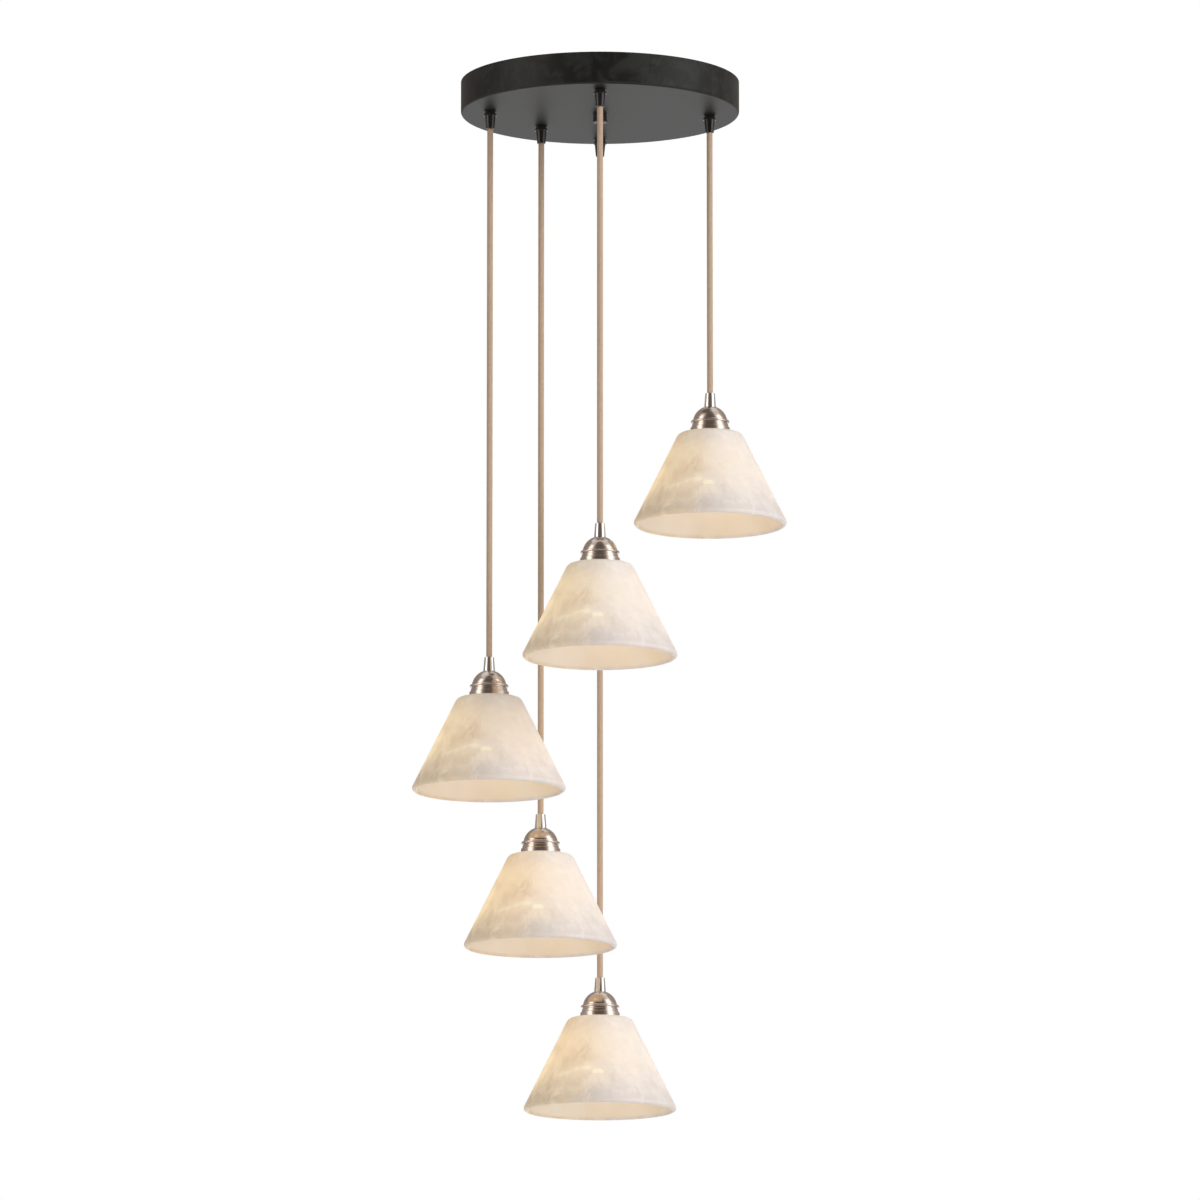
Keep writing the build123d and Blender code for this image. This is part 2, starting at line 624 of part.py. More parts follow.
def bulb_base():
    """The bulb's metal screw base with its insulated tip contact."""
    radius = BULB_BASE_DIAMETER / 2
    tip = BULB_TIP_DIAMETER / 2
    return turned(
        (0, BULB_TOP),
        (tip, BULB_TOP, EDGE_ROUNDING),
        (tip, BULB_TOP - BULB_BUTTON_HEIGHT),
        (radius - BULB_THREAD_DEPTH, BULB_SHOULDER),
        *thread_corners(radius, BULB_THREAD_DEPTH, BULB_THREAD_PITCH, BULB_SHOULDER, BULB_BASE_BOTTOM),
        (0, BULB_BASE_BOTTOM),
    )


def bulb_glass():
    """Round glass of the bulb, open at the neck, which the base closes."""
    middle = BULB_BASE_BOTTOM - BULB_GLASS_LENGTH + BULB_GLASS_DIAMETER / 2
    joint_angle = math.radians(BULB_JOINT_ANGLE)
    side_angle = (joint_angle - math.pi / 2) / 2
    faces = []
    for inset in (0, BULB_GLASS_WALL):
        radius = BULB_GLASS_DIAMETER / 2 - inset
        bottom = (0, middle - radius)
        side = Vector(radius * math.cos(side_angle), 0, middle + radius * math.sin(side_angle))
        joint = (radius * math.cos(joint_angle), middle + radius * math.sin(joint_angle))
        neck = (BULB_NECK_DIAMETER / 2 - inset, BULB_BASE_BOTTOM)
        faces.append([bottom, side, joint, neck])
    outside, inside = faces
    return turned(*outside, *reversed(inside))


LAMP_PIECES = {
    "cap_grip": cap_grip,
    "socket_cap": socket_cap,
    "lampholder": lampholder,
    "screw_shell": screw_shell,
    "lamp_lead": lamp_lead,
    "shade": shade,
    "shade_ring": shade_ring,
    "bulb_base": bulb_base,
    "bulb_glass": bulb_glass,
}

CANOPY_PIECES = {
    "canopy_pan": canopy_pan,
    "crossbar": crossbar,
    "ground_screw": ground_screw,
    "center_nipple": center_nipple,
    "canopy_finial": canopy_finial,
    "locknuts": locknuts,
    "cord_grips": cord_grips,
    "cord_tails": cord_tails,
    "lead_wires": lead_wires,
    "wire_connectors": wire_connectors,
}


def main():
    """Build every piece and write one STEP file for each."""
    nodes = {name: build() for name, build in CANOPY_PIECES.items()}
    lamp = {name: build() for name, build in LAMP_PIECES.items()}
    for number in PENDANT_ANGLES:
        spot = place(number)
        nodes[f"cord_{number}"] = cord(number)
        for name, shape in lamp.items():
            nodes[f"{name}_{number}"] = Pos(spot.X, spot.Y, -PENDANT_DROPS[number] - MOUTH_HEIGHT) * shape
    os.makedirs("parts", exist_ok=True)
    for name, shape in nodes.items():
        export_step(shape, f"parts/{name}.step")


main()
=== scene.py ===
"""Dress of a five-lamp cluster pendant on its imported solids.

Everything is in metres. +Z is up and z = 0 is the ceiling, +X is right and +Y is away from the
viewer. The canopy's axis is the Z axis.
"""

import logging
import math
from dataclasses import dataclass, field
from enum import Enum

import bmesh
import bpy
from mathutils import Matrix, Vector

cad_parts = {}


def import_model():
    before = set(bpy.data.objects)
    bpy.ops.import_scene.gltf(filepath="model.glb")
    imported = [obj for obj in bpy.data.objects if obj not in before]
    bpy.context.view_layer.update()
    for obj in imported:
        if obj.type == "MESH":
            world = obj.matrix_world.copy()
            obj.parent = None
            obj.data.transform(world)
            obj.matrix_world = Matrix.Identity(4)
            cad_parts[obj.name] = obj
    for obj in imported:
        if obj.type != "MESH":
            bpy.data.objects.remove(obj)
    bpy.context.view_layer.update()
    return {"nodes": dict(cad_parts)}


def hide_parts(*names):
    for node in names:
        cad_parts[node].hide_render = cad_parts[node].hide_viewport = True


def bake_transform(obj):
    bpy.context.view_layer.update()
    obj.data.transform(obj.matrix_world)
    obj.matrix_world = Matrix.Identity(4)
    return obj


LOG = logging.getLogger("cluster_pendant")

Colour = tuple[float, float, float]
Point = tuple[float, float, float]
Socket = bpy.types.NodeSocket

BLACK = (0.0, 0.0, 0.0)
WHITE = (1.0, 1.0, 1.0)
MIDDLE_HEIGHT = -0.6


# ---- Node building ----


class NodeSheet:
    """Adds nodes to one tree, and sets or links their inputs by name."""

    def __init__(self, tree: bpy.types.NodeTree) -> None:
        """Starts on the node tree of a material, a world or a group."""
        self.tree = tree

    def fill(self, node: bpy.types.Node, inputs: dict) -> None:
        """Sets or links inputs of a node.

        Args:
            node: The node.
            inputs: Values or sockets for its inputs, by name or number.
        """
        for name, value in inputs.items():
            if isinstance(value, Socket):
                self.tree.links.new(value, node.inputs[name])
            elif node.inputs[name].type == "RGBA":
                node.inputs[name].default_value = (*value, 1.0)
            else:
                node.inputs[name].default_value = value

    def node(self, kind: str, inputs: dict | None = None, **settings: object) -> bpy.types.Node:
        """Adds one node.

        Args:
            kind: Blender's name for the node type.
            inputs: Values or sockets for the node's inputs, by name or number.
            **settings: The node's own properties.

        Returns:
            The new node.
        """
        made = self.tree.nodes.new(kind)
        for name, value in settings.items():
            setattr(made, name, value)
        self.fill(made, inputs or {})
        return made

    def math(self, operation: str, *values: float | Socket) -> Socket:
        """Adds a Math node, with its inputs in order, and returns its result."""
        return self.node("ShaderNodeMath", dict(enumerate(values)), operation=operation).outputs[0]

    def plus(self, first: float | Socket, second: float | Socket) -> Socket:
        """Adds two numbers."""
        return self.math("ADD", first, second)

    def less(self, first: float | Socket, second: float | Socket) -> Socket:
        """Takes the second number from the first."""
        return self.math("SUBTRACT", first, second)

    def times(self, first: float | Socket, second: float | Socket) -> Socket:
        """Multiplies two numbers."""
        return self.math("MULTIPLY", first, second)

    def most(self, first: float | Socket, second: float | Socket) -> Socket:
        """Takes the larger of two numbers."""
        return self.math("MAXIMUM", first, second)

    def lift(self, base: float, value: Socket, share: float) -> Socket:
        """Adds a share of a value to a base."""
        return self.plus(base, self.times(value, share))

    def average(self, first: Socket, second: Socket, share: float) -> Socket:
        """Averages two numbers, with a share of the first and the rest of the second."""
        return self.plus(self.times(first, share), self.times(second, 1.0 - share))

    def vector_math(self, operation: str, *values: Point | Socket) -> Socket:
        """Adds a Vector Math node, with its inputs in order, and returns its vector."""
        return self.node("ShaderNodeVectorMath", dict(enumerate(values)), operation=operation).outputs[0]

    def resize(self, vector: Socket, factor: float) -> Socket:
        """Makes a vector longer or shorter."""
        return self.node("ShaderNodeVectorMath", {0: vector, "Scale": factor}, operation="SCALE").outputs[0]

    def length(self, vector: Socket) -> Socket:
        """Measures a vector."""
        return self.node("ShaderNodeVectorMath", {0: vector}, operation="LENGTH").outputs["Value"]

    def split(self, vector: Socket) -> bpy.types.bpy_prop_collection:
        """Splits a vector into its three numbers."""
        return self.node("ShaderNodeSeparateXYZ", {0: vector}).outputs

    def join(self, *values: float | Socket) -> Socket:
        """Makes a vector from its numbers."""
        return self.node("ShaderNodeCombineXYZ", dict(enumerate(values))).outputs[0]

    def remap(self, vector: Socket, **values: Point) -> Socket:
        """Moves, turns or stretches coordinates, with the Mapping node's Location, Rotation and Scale."""
        return self.node("ShaderNodeMapping", {"Vector": vector, **values}).outputs[0]

    def place_from(self, centre: Vector) -> Socket:
        """Gives object coordinates counted from a point."""
        place = self.node("ShaderNodeTexCoord").outputs["Object"]
        return self.remap(place, Location=tuple(-centre))

    def ramp(self, value: Socket, low: float, high: float, smooth: bool = True) -> Socket:
        """Turns a value into a mask that goes from 0 at low to 1 at high.

        Args:
            value: The socket to read.
            low: The value that gives 0.
            high: The value that gives 1.
            smooth: Whether the ends are eased.

        Returns:
            The mask's socket.
        """
        kind = "SMOOTHSTEP" if smooth else "LINEAR"
        inputs = {"Value": value, "From Min": low, "From Max": high}
        return self.node("ShaderNodeMapRange", inputs, interpolation_type=kind).outputs["Result"]

    def mix(self, mask: float | Socket, first: Colour | Socket, second: Colour | Socket,
            blend: str = "MIX") -> Socket:
        """Mixes two colours.

        Args:
            mask: Share of the second colour.
            first: The first colour.
            second: The second colour.
            blend: How they are blended.

        Returns:
            The mixed colour's socket.
        """
        inputs = {0: mask, 6: first, 7: second}
        return self.node("ShaderNodeMix", inputs, data_type="RGBA", blend_type=blend).outputs[2]

    def noise(self, vector: Socket, scale: float | Socket, detail: float = 3.0,
              roughness: float = 0.5, distortion: float = 0.0) -> Socket:
        """Adds a noise texture.

        Args:
            vector: The coordinates.
            scale: Cells for each metre.
            detail: How many finer layers it has.
            roughness: How strong the finer layers are.
            distortion: How far it is warped.

        Returns:
            The socket of its value, from 0 to 1.
        """
        inputs = {"Vector": vector, "Scale": scale, "Detail": detail,
                  "Roughness": roughness, "Distortion": distortion}
        return self.node("ShaderNodeTexNoise", inputs).outputs[0]

    def wander(self, vector: Socket, scale: float, reach: float) -> Socket:
        """Makes an offset that changes its way over the surface.

        Args:
            vector: The coordinates.
            scale: Cells for each metre.
            reach: Width of the space that it wanders in, in metres.

        Returns:
            The offset's socket.
        """
        inputs = {"Vector": vector, "Scale": scale, "Detail": 4.0}
        colour = self.node("ShaderNodeTexNoise", inputs).outputs[1]
        return self.resize(self.vector_math("SUBTRACT", colour, (0.5, 0.5, 0.5)), reach)


def new_group(name: str, inputs: dict[str, object], outputs: tuple[str, ...]) -> tuple:
    """Makes an empty shader node group.

    Args:
        name: The group's name.
        inputs: Its inputs and their first values: a number, a colour, or None for a vector.
        outputs: Its outputs. Those whose name ends in Colour are colours, the rest are numbers.

    Returns:
        The group, a NodeSheet on it, the sockets that it gives inside, and its output node.
    """
    group = bpy.data.node_groups.new(name, "ShaderNodeTree")
    for label, value in inputs.items():
        kind = "Vector" if value is None else "Color" if isinstance(value, tuple) else "Float"
        socket = group.interface.new_socket(name=label, in_out="INPUT", socket_type=f"NodeSocket{kind}")
        if value is not None:
            socket.default_value = (*value, 1.0) if kind == "Color" else value
    for label in outputs:
        kind = "Color" if label.endswith("Colour") else "Float"
        group.interface.new_socket(name=label, in_out="OUTPUT", socket_type=f"NodeSocket{kind}")
    sheet = NodeSheet(group)
    return group, sheet, sheet.node("NodeGroupInput").outputs, sheet.node("NodeGroupOutput")


def new_material(name: str) -> tuple[bpy.types.Material, NodeSheet]:
    """Makes an empty material.

    Args:
        name: Its name.

    Returns:
        The material, and a NodeSheet on it.
    """
    material = bpy.data.materials.new(name)
    material.use_nodes = True
    material.node_tree.nodes.clear()
    return material, NodeSheet(material.node_tree)


@dataclass(frozen=True)
class Spot:
    """Egg-shaped place on a shade, counted from the middle of its flat top.

    Attributes:
        centre: Its middle.
        size: How far it reaches each way.
        edge: Share of that reach at which it begins to fade.
    """

    centre: Point
    size: Point
    edge: float = 0.0

    def mask(self, sheet: NodeSheet, place: Socket) -> Socket:
        """Adds a mask that is 1 at the spot's middle.

        Args:
            sheet: The sheet that it is added to.
            place: Coordinates in metres.

        Returns:
            The mask's socket.
        """
        away = sheet.vector_math("SUBTRACT", place, self.centre)
        reach = sheet.length(sheet.vector_math("DIVIDE", away, self.size))
        return sheet.ramp(reach, 1.0, self.edge)


class LitStone:
    """Group of cloudy translucent stone, with a painted glow for the light from within, and z = 0 at a
    shade's flat top.

    A pair of numbers is where a mask begins and where it is whole: a height or a place in metres,
    or a value of the noise that it reads.
    """

    # The Glow colours are painted light: emission on the stone that stands for the bulb's light coming
    # through it.
    INPUTS = {
        "Vector": None, "Cream": (0.85, 0.745, 0.605), "Pale": (0.845, 0.80, 0.765),
        "Tan": (0.64, 0.53, 0.405), "Vein": (0.50, 0.38, 0.27), "Fleck": (0.93, 0.86, 0.72),
        "Foot": (0.765, 0.71, 0.69), "Warm Foot": (0.585, 0.515, 0.455), "Streak": (0.88, 0.85, 0.84),
        "Inside": (0.685, 0.605, 0.50), "Inside Pale": (0.77, 0.73, 0.69),
        "Glow": (0.215, 0.15, 0.08), "Edge Glow": (0.27, 0.215, 0.125),
        "Fleck Glow": (0.09, 0.075, 0.045), "Side Glow": (0.185, 0.130, 0.055),
        "Inner Glow": (0.175, 0.12, 0.06), "Inner Glow Right": (0.225, 0.160, 0.085),
    }

    WARP, NUDGE_SHARE, TEAR = 0.040, 0.35, 0.010
    LEFTWARD = (0.040, -0.036)
    LOW = (-0.064, -0.100)
    UPPER = (-0.108, -0.046)
    CROWN = (-0.004, -0.028)

    # The bow is a parabola over the front: x of its crest, how steeply it falls, and its height.
    BOW_CREST, BOW_FALL, BOW_HEIGHT = -0.019, -9.0, -0.0685
    OVER_BOW = (-0.0010, 0.0030)
    BOW_LINE_DEPTH, BOW_LINE = 0.0018, (0.0034, 0.0004)

    BELLY = Spot((-0.031, -0.054, -0.056), (0.034, 0.050, 0.026), 0.3)
    WEDGE = Spot((-0.0032, -0.0713, -0.0750), (0.0078, 0.030, 0.0052), 0.5)
    CREST = Spot((-0.0190, -0.0660, -0.0680), (0.0140, 0.030, 0.0036), 0.2)
    HEEL = Spot((-0.0360, -0.0600, -0.0735), (0.0100, 0.030, 0.0050), 0.2)
    BOW = Spot((-0.021, -0.064, -0.070), (0.032, 0.045, 0.016), 0.4)
    WISPS = Spot((-0.020, -0.066, -0.078), (0.046, 0.050, 0.026), 0.3)
    SCAR = Spot((-0.008, -0.068, -0.0825), (0.034, 0.040, 0.0120), 0.1)
    # Painted shade: a darker patch along the lower left of the rim.
    RIM_PAINTED_SHADE = Spot((-0.052, -0.062, -0.1075), (0.026, 0.040, 0.0085), 0.1)
    # Painted glow: two warm patches on the shade's left, at the shoulder and down the flank.
    SHOULDER_PAINTED_GLOW = Spot((-0.038, -0.022, -0.024), (0.036, 0.046, 0.032))
    FLANK_PAINTED_GLOW = Spot((-0.067, -0.010, -0.060), (0.038, 0.068, 0.060))

    # Inside the shade the radius less this share of the depth is under the wall's middle.
    WALL_SLOPE, WALL = 0.498, (0.0340, 0.0325)
    UNDER_TOP = (-0.004, -0.006)
    OVER_RIM = (-0.1100, -0.1060)

    def __init__(self) -> None:
        """Builds the group."""
        outputs = ("Colour", "Glow Colour", "Roughness", "Height")
        self.group, self.sheet, self.given, result = new_group("lit_stone", self.INPUTS, outputs)
        sheet = self.sheet
        place = self.given["Vector"]
        shift = sheet.wander(place, 26.0, self.WARP)
        self.warped = sheet.vector_math("ADD", place, shift)
        self.nudged = sheet.vector_math("ADD", place, sheet.resize(shift, self.NUDGE_SHARE))
        self.torn = sheet.vector_math("ADD", self.nudged, sheet.wander(place, 170.0, self.TEAR))
        self.parts = sheet.split(place)

        self.broad = sheet.ramp(sheet.noise(self.warped, 15.0, detail=4.0, roughness=0.5), 0.34, 0.66)
        self.cloud = sheet.ramp(sheet.noise(self.warped, 40.0, detail=6.0, roughness=0.6), 0.36, 0.64)
        self.grain = sheet.noise(self.warped, 150.0, detail=5.0, roughness=0.6)
        veins = sheet.noise(self.warped, 19.0, detail=6.0, roughness=0.62)
        self.ridge = sheet.math("ABSOLUTE", sheet.less(veins, 0.5))
        self.wavy_height = sheet.plus(self.parts[2], sheet.times(self.cloud, 0.008))
        # leftward is 1 on the shade's left. There the stone is creamier and more tan, with more veins and a
        # darker warm foot, partly its own warmer tone and partly painted shade, and its outside takes extra
        # painted glow.
        across = sheet.plus(self.parts[0], sheet.times(self.broad, 0.020))
        self.leftward = sheet.ramp(across, *self.LEFTWARD)

        over_bow = self.over_bow()
        tan = self.tan(over_bow)
        pale_marks = self.pale_marks(over_bow)
        inner = self.inner()
        sheet.fill(result, {
            "Colour": self.body(tan, pale_marks, inner),
            "Glow Colour": self.glow(tan, pale_marks, inner),
            "Roughness": sheet.lift(0.38, self.cloud, 0.12),
            "Height": sheet.plus(self.grain, self.cloud),
        })

    def over_bow(self) -> Socket:
        """Measures how high a point is over the bow.

        Returns:
            The height's socket, below 0 under the bow.
        """
        sheet = self.sheet
        parts = sheet.split(self.torn)
        from_crest = sheet.plus(parts[0], -self.BOW_CREST)
        square = sheet.times(from_crest, from_crest)
        return sheet.less(parts[2], sheet.math("MULTIPLY_ADD", square, self.BOW_FALL, self.BOW_HEIGHT))

    def tan(self, over_bow: Socket) -> Socket:
        """Builds the share of tan in the stone: between the clouds, and on the brushed belly.

        Args:
            over_bow: Height over the bow, under which the belly is paler.

        Returns:
            The share's socket.
        """
        sheet = self.sheet
        slant = sheet.remap(self.warped, Rotation=(0.0, 0.75, 0.0), Scale=(1.0, 1.0, 0.30))
        brush = sheet.ramp(sheet.noise(slant, 58.0, detail=5.0, roughness=0.62), 0.40, 0.62)
        belly = sheet.times(self.BELLY.mask(sheet, self.nudged), sheet.math(
            "MULTIPLY_ADD", sheet.ramp(over_bow, *self.OVER_BOW), 0.80, 0.20))
        gaps = sheet.less(1.0, sheet.times(self.cloud, 0.8))
        tan = sheet.times(gaps, sheet.times(self.leftward, 0.20))
        tan = sheet.plus(tan, sheet.times(belly, sheet.math("MULTIPLY_ADD", brush, 0.42, 0.16)))
        return sheet.plus(tan, sheet.times(sheet.less(1.0, self.broad), 0.10))

    def pale_marks(self, over_bow: Socket) -> Socket:
        """Builds the bright wedge, the pale bow beside it and the wisps round them.

        Args:
            over_bow: Height over the bow.

        Returns:
            The marks' mask.
        """
        sheet = self.sheet
        wedge = self.WEDGE.mask(sheet, self.torn)
        bow = sheet.most(sheet.times(self.CREST.mask(sheet, self.nudged), 0.35),
                         sheet.times(self.HEEL.mask(sheet, self.nudged), 0.35))
        from_line = sheet.math("ABSOLUTE", sheet.plus(over_bow, self.BOW_LINE_DEPTH))
        line = sheet.times(sheet.ramp(from_line, *self.BOW_LINE), self.BOW.mask(sheet, self.nudged))
        crumbled = sheet.math("MULTIPLY_ADD", sheet.ramp(self.grain, 0.38, 0.60), 0.48, 0.12)
        bow = sheet.most(bow, sheet.times(line, crumbled))
        wisps = sheet.times(sheet.ramp(self.ridge, 0.050, 0.0), self.WISPS.mask(sheet, self.nudged))
        return sheet.most(sheet.most(wedge, bow), sheet.times(wisps, 0.22))

    def inner(self) -> Socket:
        """Builds a mask of the wall's inner face, from under the flat top to the rim.

        Returns:
            The mask's socket.
        """
        sheet = self.sheet
        height = self.parts[2]
        radius = sheet.length(sheet.join(self.parts[0], self.parts[1]))
        wall = sheet.plus(radius, sheet.times(height, self.WALL_SLOPE))
        inner = sheet.times(sheet.ramp(wall, *self.WALL), sheet.ramp(height, *self.UNDER_TOP))
        return sheet.times(inner, sheet.ramp(height, *self.OVER_RIM))

    def body(self, tan: Socket, pale_marks: Socket, inner: Socket) -> Socket:
        """Builds the stone's colour.

        Args:
            tan: The share of tan.
            pale_marks: The mask of the pale marks.
            inner: The mask of the inner face.

        Returns:
            The colour's socket.
        """
        sheet, given, leftward = self.sheet, self.given, self.leftward
        vein = sheet.ramp(self.ridge, 0.022, 0.0)
        tall = sheet.remap(self.warped, Scale=(1.0, 1.0, 0.35))
        streak = sheet.ramp(sheet.noise(tall, 62.0, detail=5.0, roughness=0.6), 0.46, 0.68)
        scar = sheet.times(sheet.ramp(self.cloud, 0.9, 0.2), self.SCAR.mask(sheet, self.nudged))
        # Painted shade along the lower left of the rim, in the vein colour.
        rim_painted_shade = self.RIM_PAINTED_SHADE.mask(sheet, self.nudged)
        # The foot band is darker than the body, and darker and warmer on the left: partly the stone's own
        # greyer tone, partly painted shade.
        foot = sheet.mix(leftward, given["Foot"], given["Warm Foot"])
        foot = sheet.mix(sheet.times(streak, 0.62), foot, given["Streak"])
        lining = sheet.mix(sheet.times(sheet.plus(self.broad, leftward), 0.45), given["Inside"],
                           given["Inside Pale"])

        body = sheet.mix(sheet.times(leftward, 0.92), given["Pale"], given["Cream"])
        for mask, colour in (
            (sheet.times(sheet.times(self.broad, self.cloud), 0.22), given["Streak"]),
            (tan, given["Tan"]),
            (sheet.times(sheet.ramp(self.wavy_height, *self.LOW), 0.88), foot),
            (sheet.times(scar, 0.50), given["Tan"]),
            (sheet.times(rim_painted_shade, 0.40), given["Vein"]),
            (sheet.times(vein, sheet.lift(0.05, leftward, 0.15)), given["Vein"]),
            (pale_marks, given["Fleck"]),
            (sheet.times(sheet.ramp(self.grain, 0.62, 0.40), 0.08), given["Vein"]),
            (inner, lining),
        ):
            body = sheet.mix(mask, body, colour)
        return body

    def glow(self, tan: Socket, pale_marks: Socket, inner: Socket) -> Socket:
        """Builds the painted glow that stands for the light coming through the stone: stronger in the upper
        part and dimmer at the flat top under the cap, with more on the left flank and side, on the pale
        marks, and on the inner face, where it is stronger on the right.

        Args:
            tan: The share of tan, which holds light back.
            pale_marks: The mask of the pale marks.
            inner: The mask of the inner face.

        Returns:
            The painted glow's colour.
        """
        sheet, given, leftward = self.sheet, self.given, self.leftward
        # Painted glow, stronger in the upper part and dimmer at the flat top under the cap.
        upper = sheet.lift(0.30, sheet.ramp(self.wavy_height, *self.UPPER), 0.70)
        patchy = sheet.lift(0.78, self.cloud, 0.22)
        crown = sheet.lift(0.60, sheet.ramp(self.parts[2], *self.CROWN), 0.40)
        lit = sheet.times(sheet.times(upper, patchy), crown)
        lit = sheet.times(lit, sheet.less(1.0, sheet.times(tan, 0.45)))
        # Painted glow on the left shoulder and flank, patchy with the clouds.
        flank = sheet.most(sheet.times(self.SHOULDER_PAINTED_GLOW.mask(sheet, self.warped), 0.75),
                           self.FLANK_PAINTED_GLOW.mask(sheet, self.warped))
        flank = sheet.times(flank, sheet.math("MULTIPLY_ADD", self.cloud, 0.35, 0.72))
        # Painted glow over the left side.
        side = sheet.times(sheet.times(leftward, leftward), patchy)

        glow = sheet.mix(lit, BLACK, given["Glow"])
        for mask, colour in ((flank, given["Edge Glow"]), (side, given["Side Glow"]),
                             (pale_marks, given["Fleck Glow"])):
            glow = sheet.mix(mask, glow, colour, blend="ADD")
        # Painted glow on the inner face, stronger on the right.
        return sheet.mix(inner, glow, sheet.mix(leftward, given["Inner Glow Right"], given["Inner Glow"]))


class Effects:
    """Node groups that several finishes share, each built once."""

    TONES = {"Vector": None, "Dark": BLACK, "Light": WHITE}
    SURFACE = ("Colour", "Roughness", "Height")

    def __init__(self) -> None:
        """Builds the groups."""
        self.mottle = self._mottle()
        self.turned = self._turned()
        self.weave = self._weave()
        self.pan_coat = self._pan_coat()
        self.stone = LitStone().group

    @staticmethod
    def _give(sheet: NodeSheet, given: bpy.types.bpy_prop_collection, result: bpy.types.Node,
              share: Socket, height: Socket) -> None:
        """Links a group's outputs, with colour and roughness from one share.

        Args:
            sheet: The group's sheet.
            given: The sockets that the group gives inside.
            result: Its output node.
            share: Share of the lighter colour and of the higher roughness.
            height: Its height.
        """
        spread = sheet.less(given["Rough"], given["Smooth"])
        sheet.fill(result, {
            "Colour": sheet.mix(share, given["Dark"], given["Light"]),
            "Roughness": sheet.math("MULTIPLY_ADD", spread, share, given["Smooth"]),
            "Height": height,
        })

    @classmethod
    def _mottle(cls) -> bpy.types.NodeTree:
        """Builds soft clouds of a darker and a lighter colour, with a fine grain.

        Returns:
            The group.
        """
        inputs = {**cls.TONES, "Cloud Scale": 40.0, "Grain Scale": 1500.0, "Smooth": 0.3, "Rough": 0.5}
        group, sheet, given, result = new_group("mottle", inputs, cls.SURFACE)
        cloud = sheet.noise(given["Vector"], given["Cloud Scale"], detail=4.0, roughness=0.55,
                            distortion=0.4)
        patches = sheet.ramp(cloud, 0.36, 0.66)
        grain = sheet.noise(given["Vector"], given["Grain Scale"], detail=2.0)
        cls._give(sheet, given, result, sheet.average(patches, grain, 0.85), grain)
        return group

    @classmethod
    def _turned(cls) -> bpy.types.NodeTree:
        """Builds fine lines that run round an upright axis, as a lathe or a brush leaves them.

        Returns:
            The group.
        """
        inputs = {**cls.TONES, "Lines": 2500.0, "Smooth": 0.25, "Rough": 0.4}
        group, sheet, given, result = new_group("turned_lines", inputs, cls.SURFACE)
        parts = sheet.split(given["Vector"])
        radius = sheet.length(sheet.join(parts[0], parts[1]))
        across = sheet.times(sheet.plus(radius, parts[2]), given["Lines"])
        along = sheet.times(sheet.math("ARCTAN2", parts[1], parts[0]), 1.6)
        line = sheet.noise(sheet.join(across, along), 1.0, detail=3.0, roughness=0.65)
        broad = sheet.noise(given["Vector"], 70.0, detail=2.0)
        share = sheet.ramp(sheet.average(line, broad, 0.7), 0.3, 0.7, smooth=False)
        cls._give(sheet, given, result, share, line)
        return group

    @classmethod
    def _weave(cls) -> bpy.types.NodeTree:
        """Builds crossed yarns that go over and under each other, one pair to each unit of the vector.

        Returns:
            The group.
        """
        group, sheet, given, result = new_group("weave", cls.TONES, cls.SURFACE)
        parts = sheet.split(given["Vector"])
        ways = (sheet.plus(parts[0], parts[1]), sheet.less(parts[0], parts[1]))
        both = sheet.join(*ways, 0.5)
        over = sheet.node("ShaderNodeTexChecker", {"Vector": both, "Scale": 1.0}).outputs["Fac"]
        right, left = [sheet.math("ABSOLUTE", sheet.math("SINE", sheet.times(way, math.pi)))
                       for way in ways]
        crown = sheet.node("ShaderNodeMix", {0: over, 2: right, 3: left}).outputs[0]
        fibre = sheet.noise(both, 5.0, detail=3.0, roughness=0.7)
        yarn = sheet.noise(given["Vector"], 0.35, detail=3.0, roughness=0.6)
        height = sheet.average(crown, fibre, 0.8)
        # The yarns are darker where they dip under each other, which is painted shade in the braid's
        # hollows, and their tone also differs at random from yarn to yarn.
        tone = sheet.average(height, yarn, 0.65)
        sheet.fill(result, {
            "Colour": sheet.mix(tone, given["Dark"], given["Light"]),
            "Roughness": sheet.less(0.95, sheet.times(fibre, 0.2)),
            "Height": height,
        })
        return group

    @classmethod
    def _pan_coat(cls) -> bpy.types.NodeTree:
        """Builds satin paint on a shallow round pan: cloudy on its side, and even underneath.

        Returns:
            The group.
        """
        inputs = {**cls.TONES, "Cloud Scale": 50.0, "Grain Scale": 2600.0, "Smooth": 0.38, "Rough": 0.48,
                  "Side Foot": -0.0366}
        group, sheet, given, result = new_group("pan_coat", inputs, cls.SURFACE)
        cloud = sheet.noise(given["Vector"], given["Cloud Scale"], detail=5.0, roughness=0.6,
                            distortion=0.5)
        patches = sheet.ramp(cloud, 0.40, 0.64)
        grain = sheet.noise(given["Vector"], given["Grain Scale"], detail=2.0)
        over_foot = sheet.less(sheet.split(given["Vector"])[2], given["Side Foot"])
        calm = sheet.lift(0.10, sheet.ramp(over_foot, -0.0008, 0.0008), 0.90)
        share = sheet.average(sheet.times(patches, calm), grain, 0.8)
        cls._give(sheet, given, result, share, grain)
        return group


# ---- Finishes ----


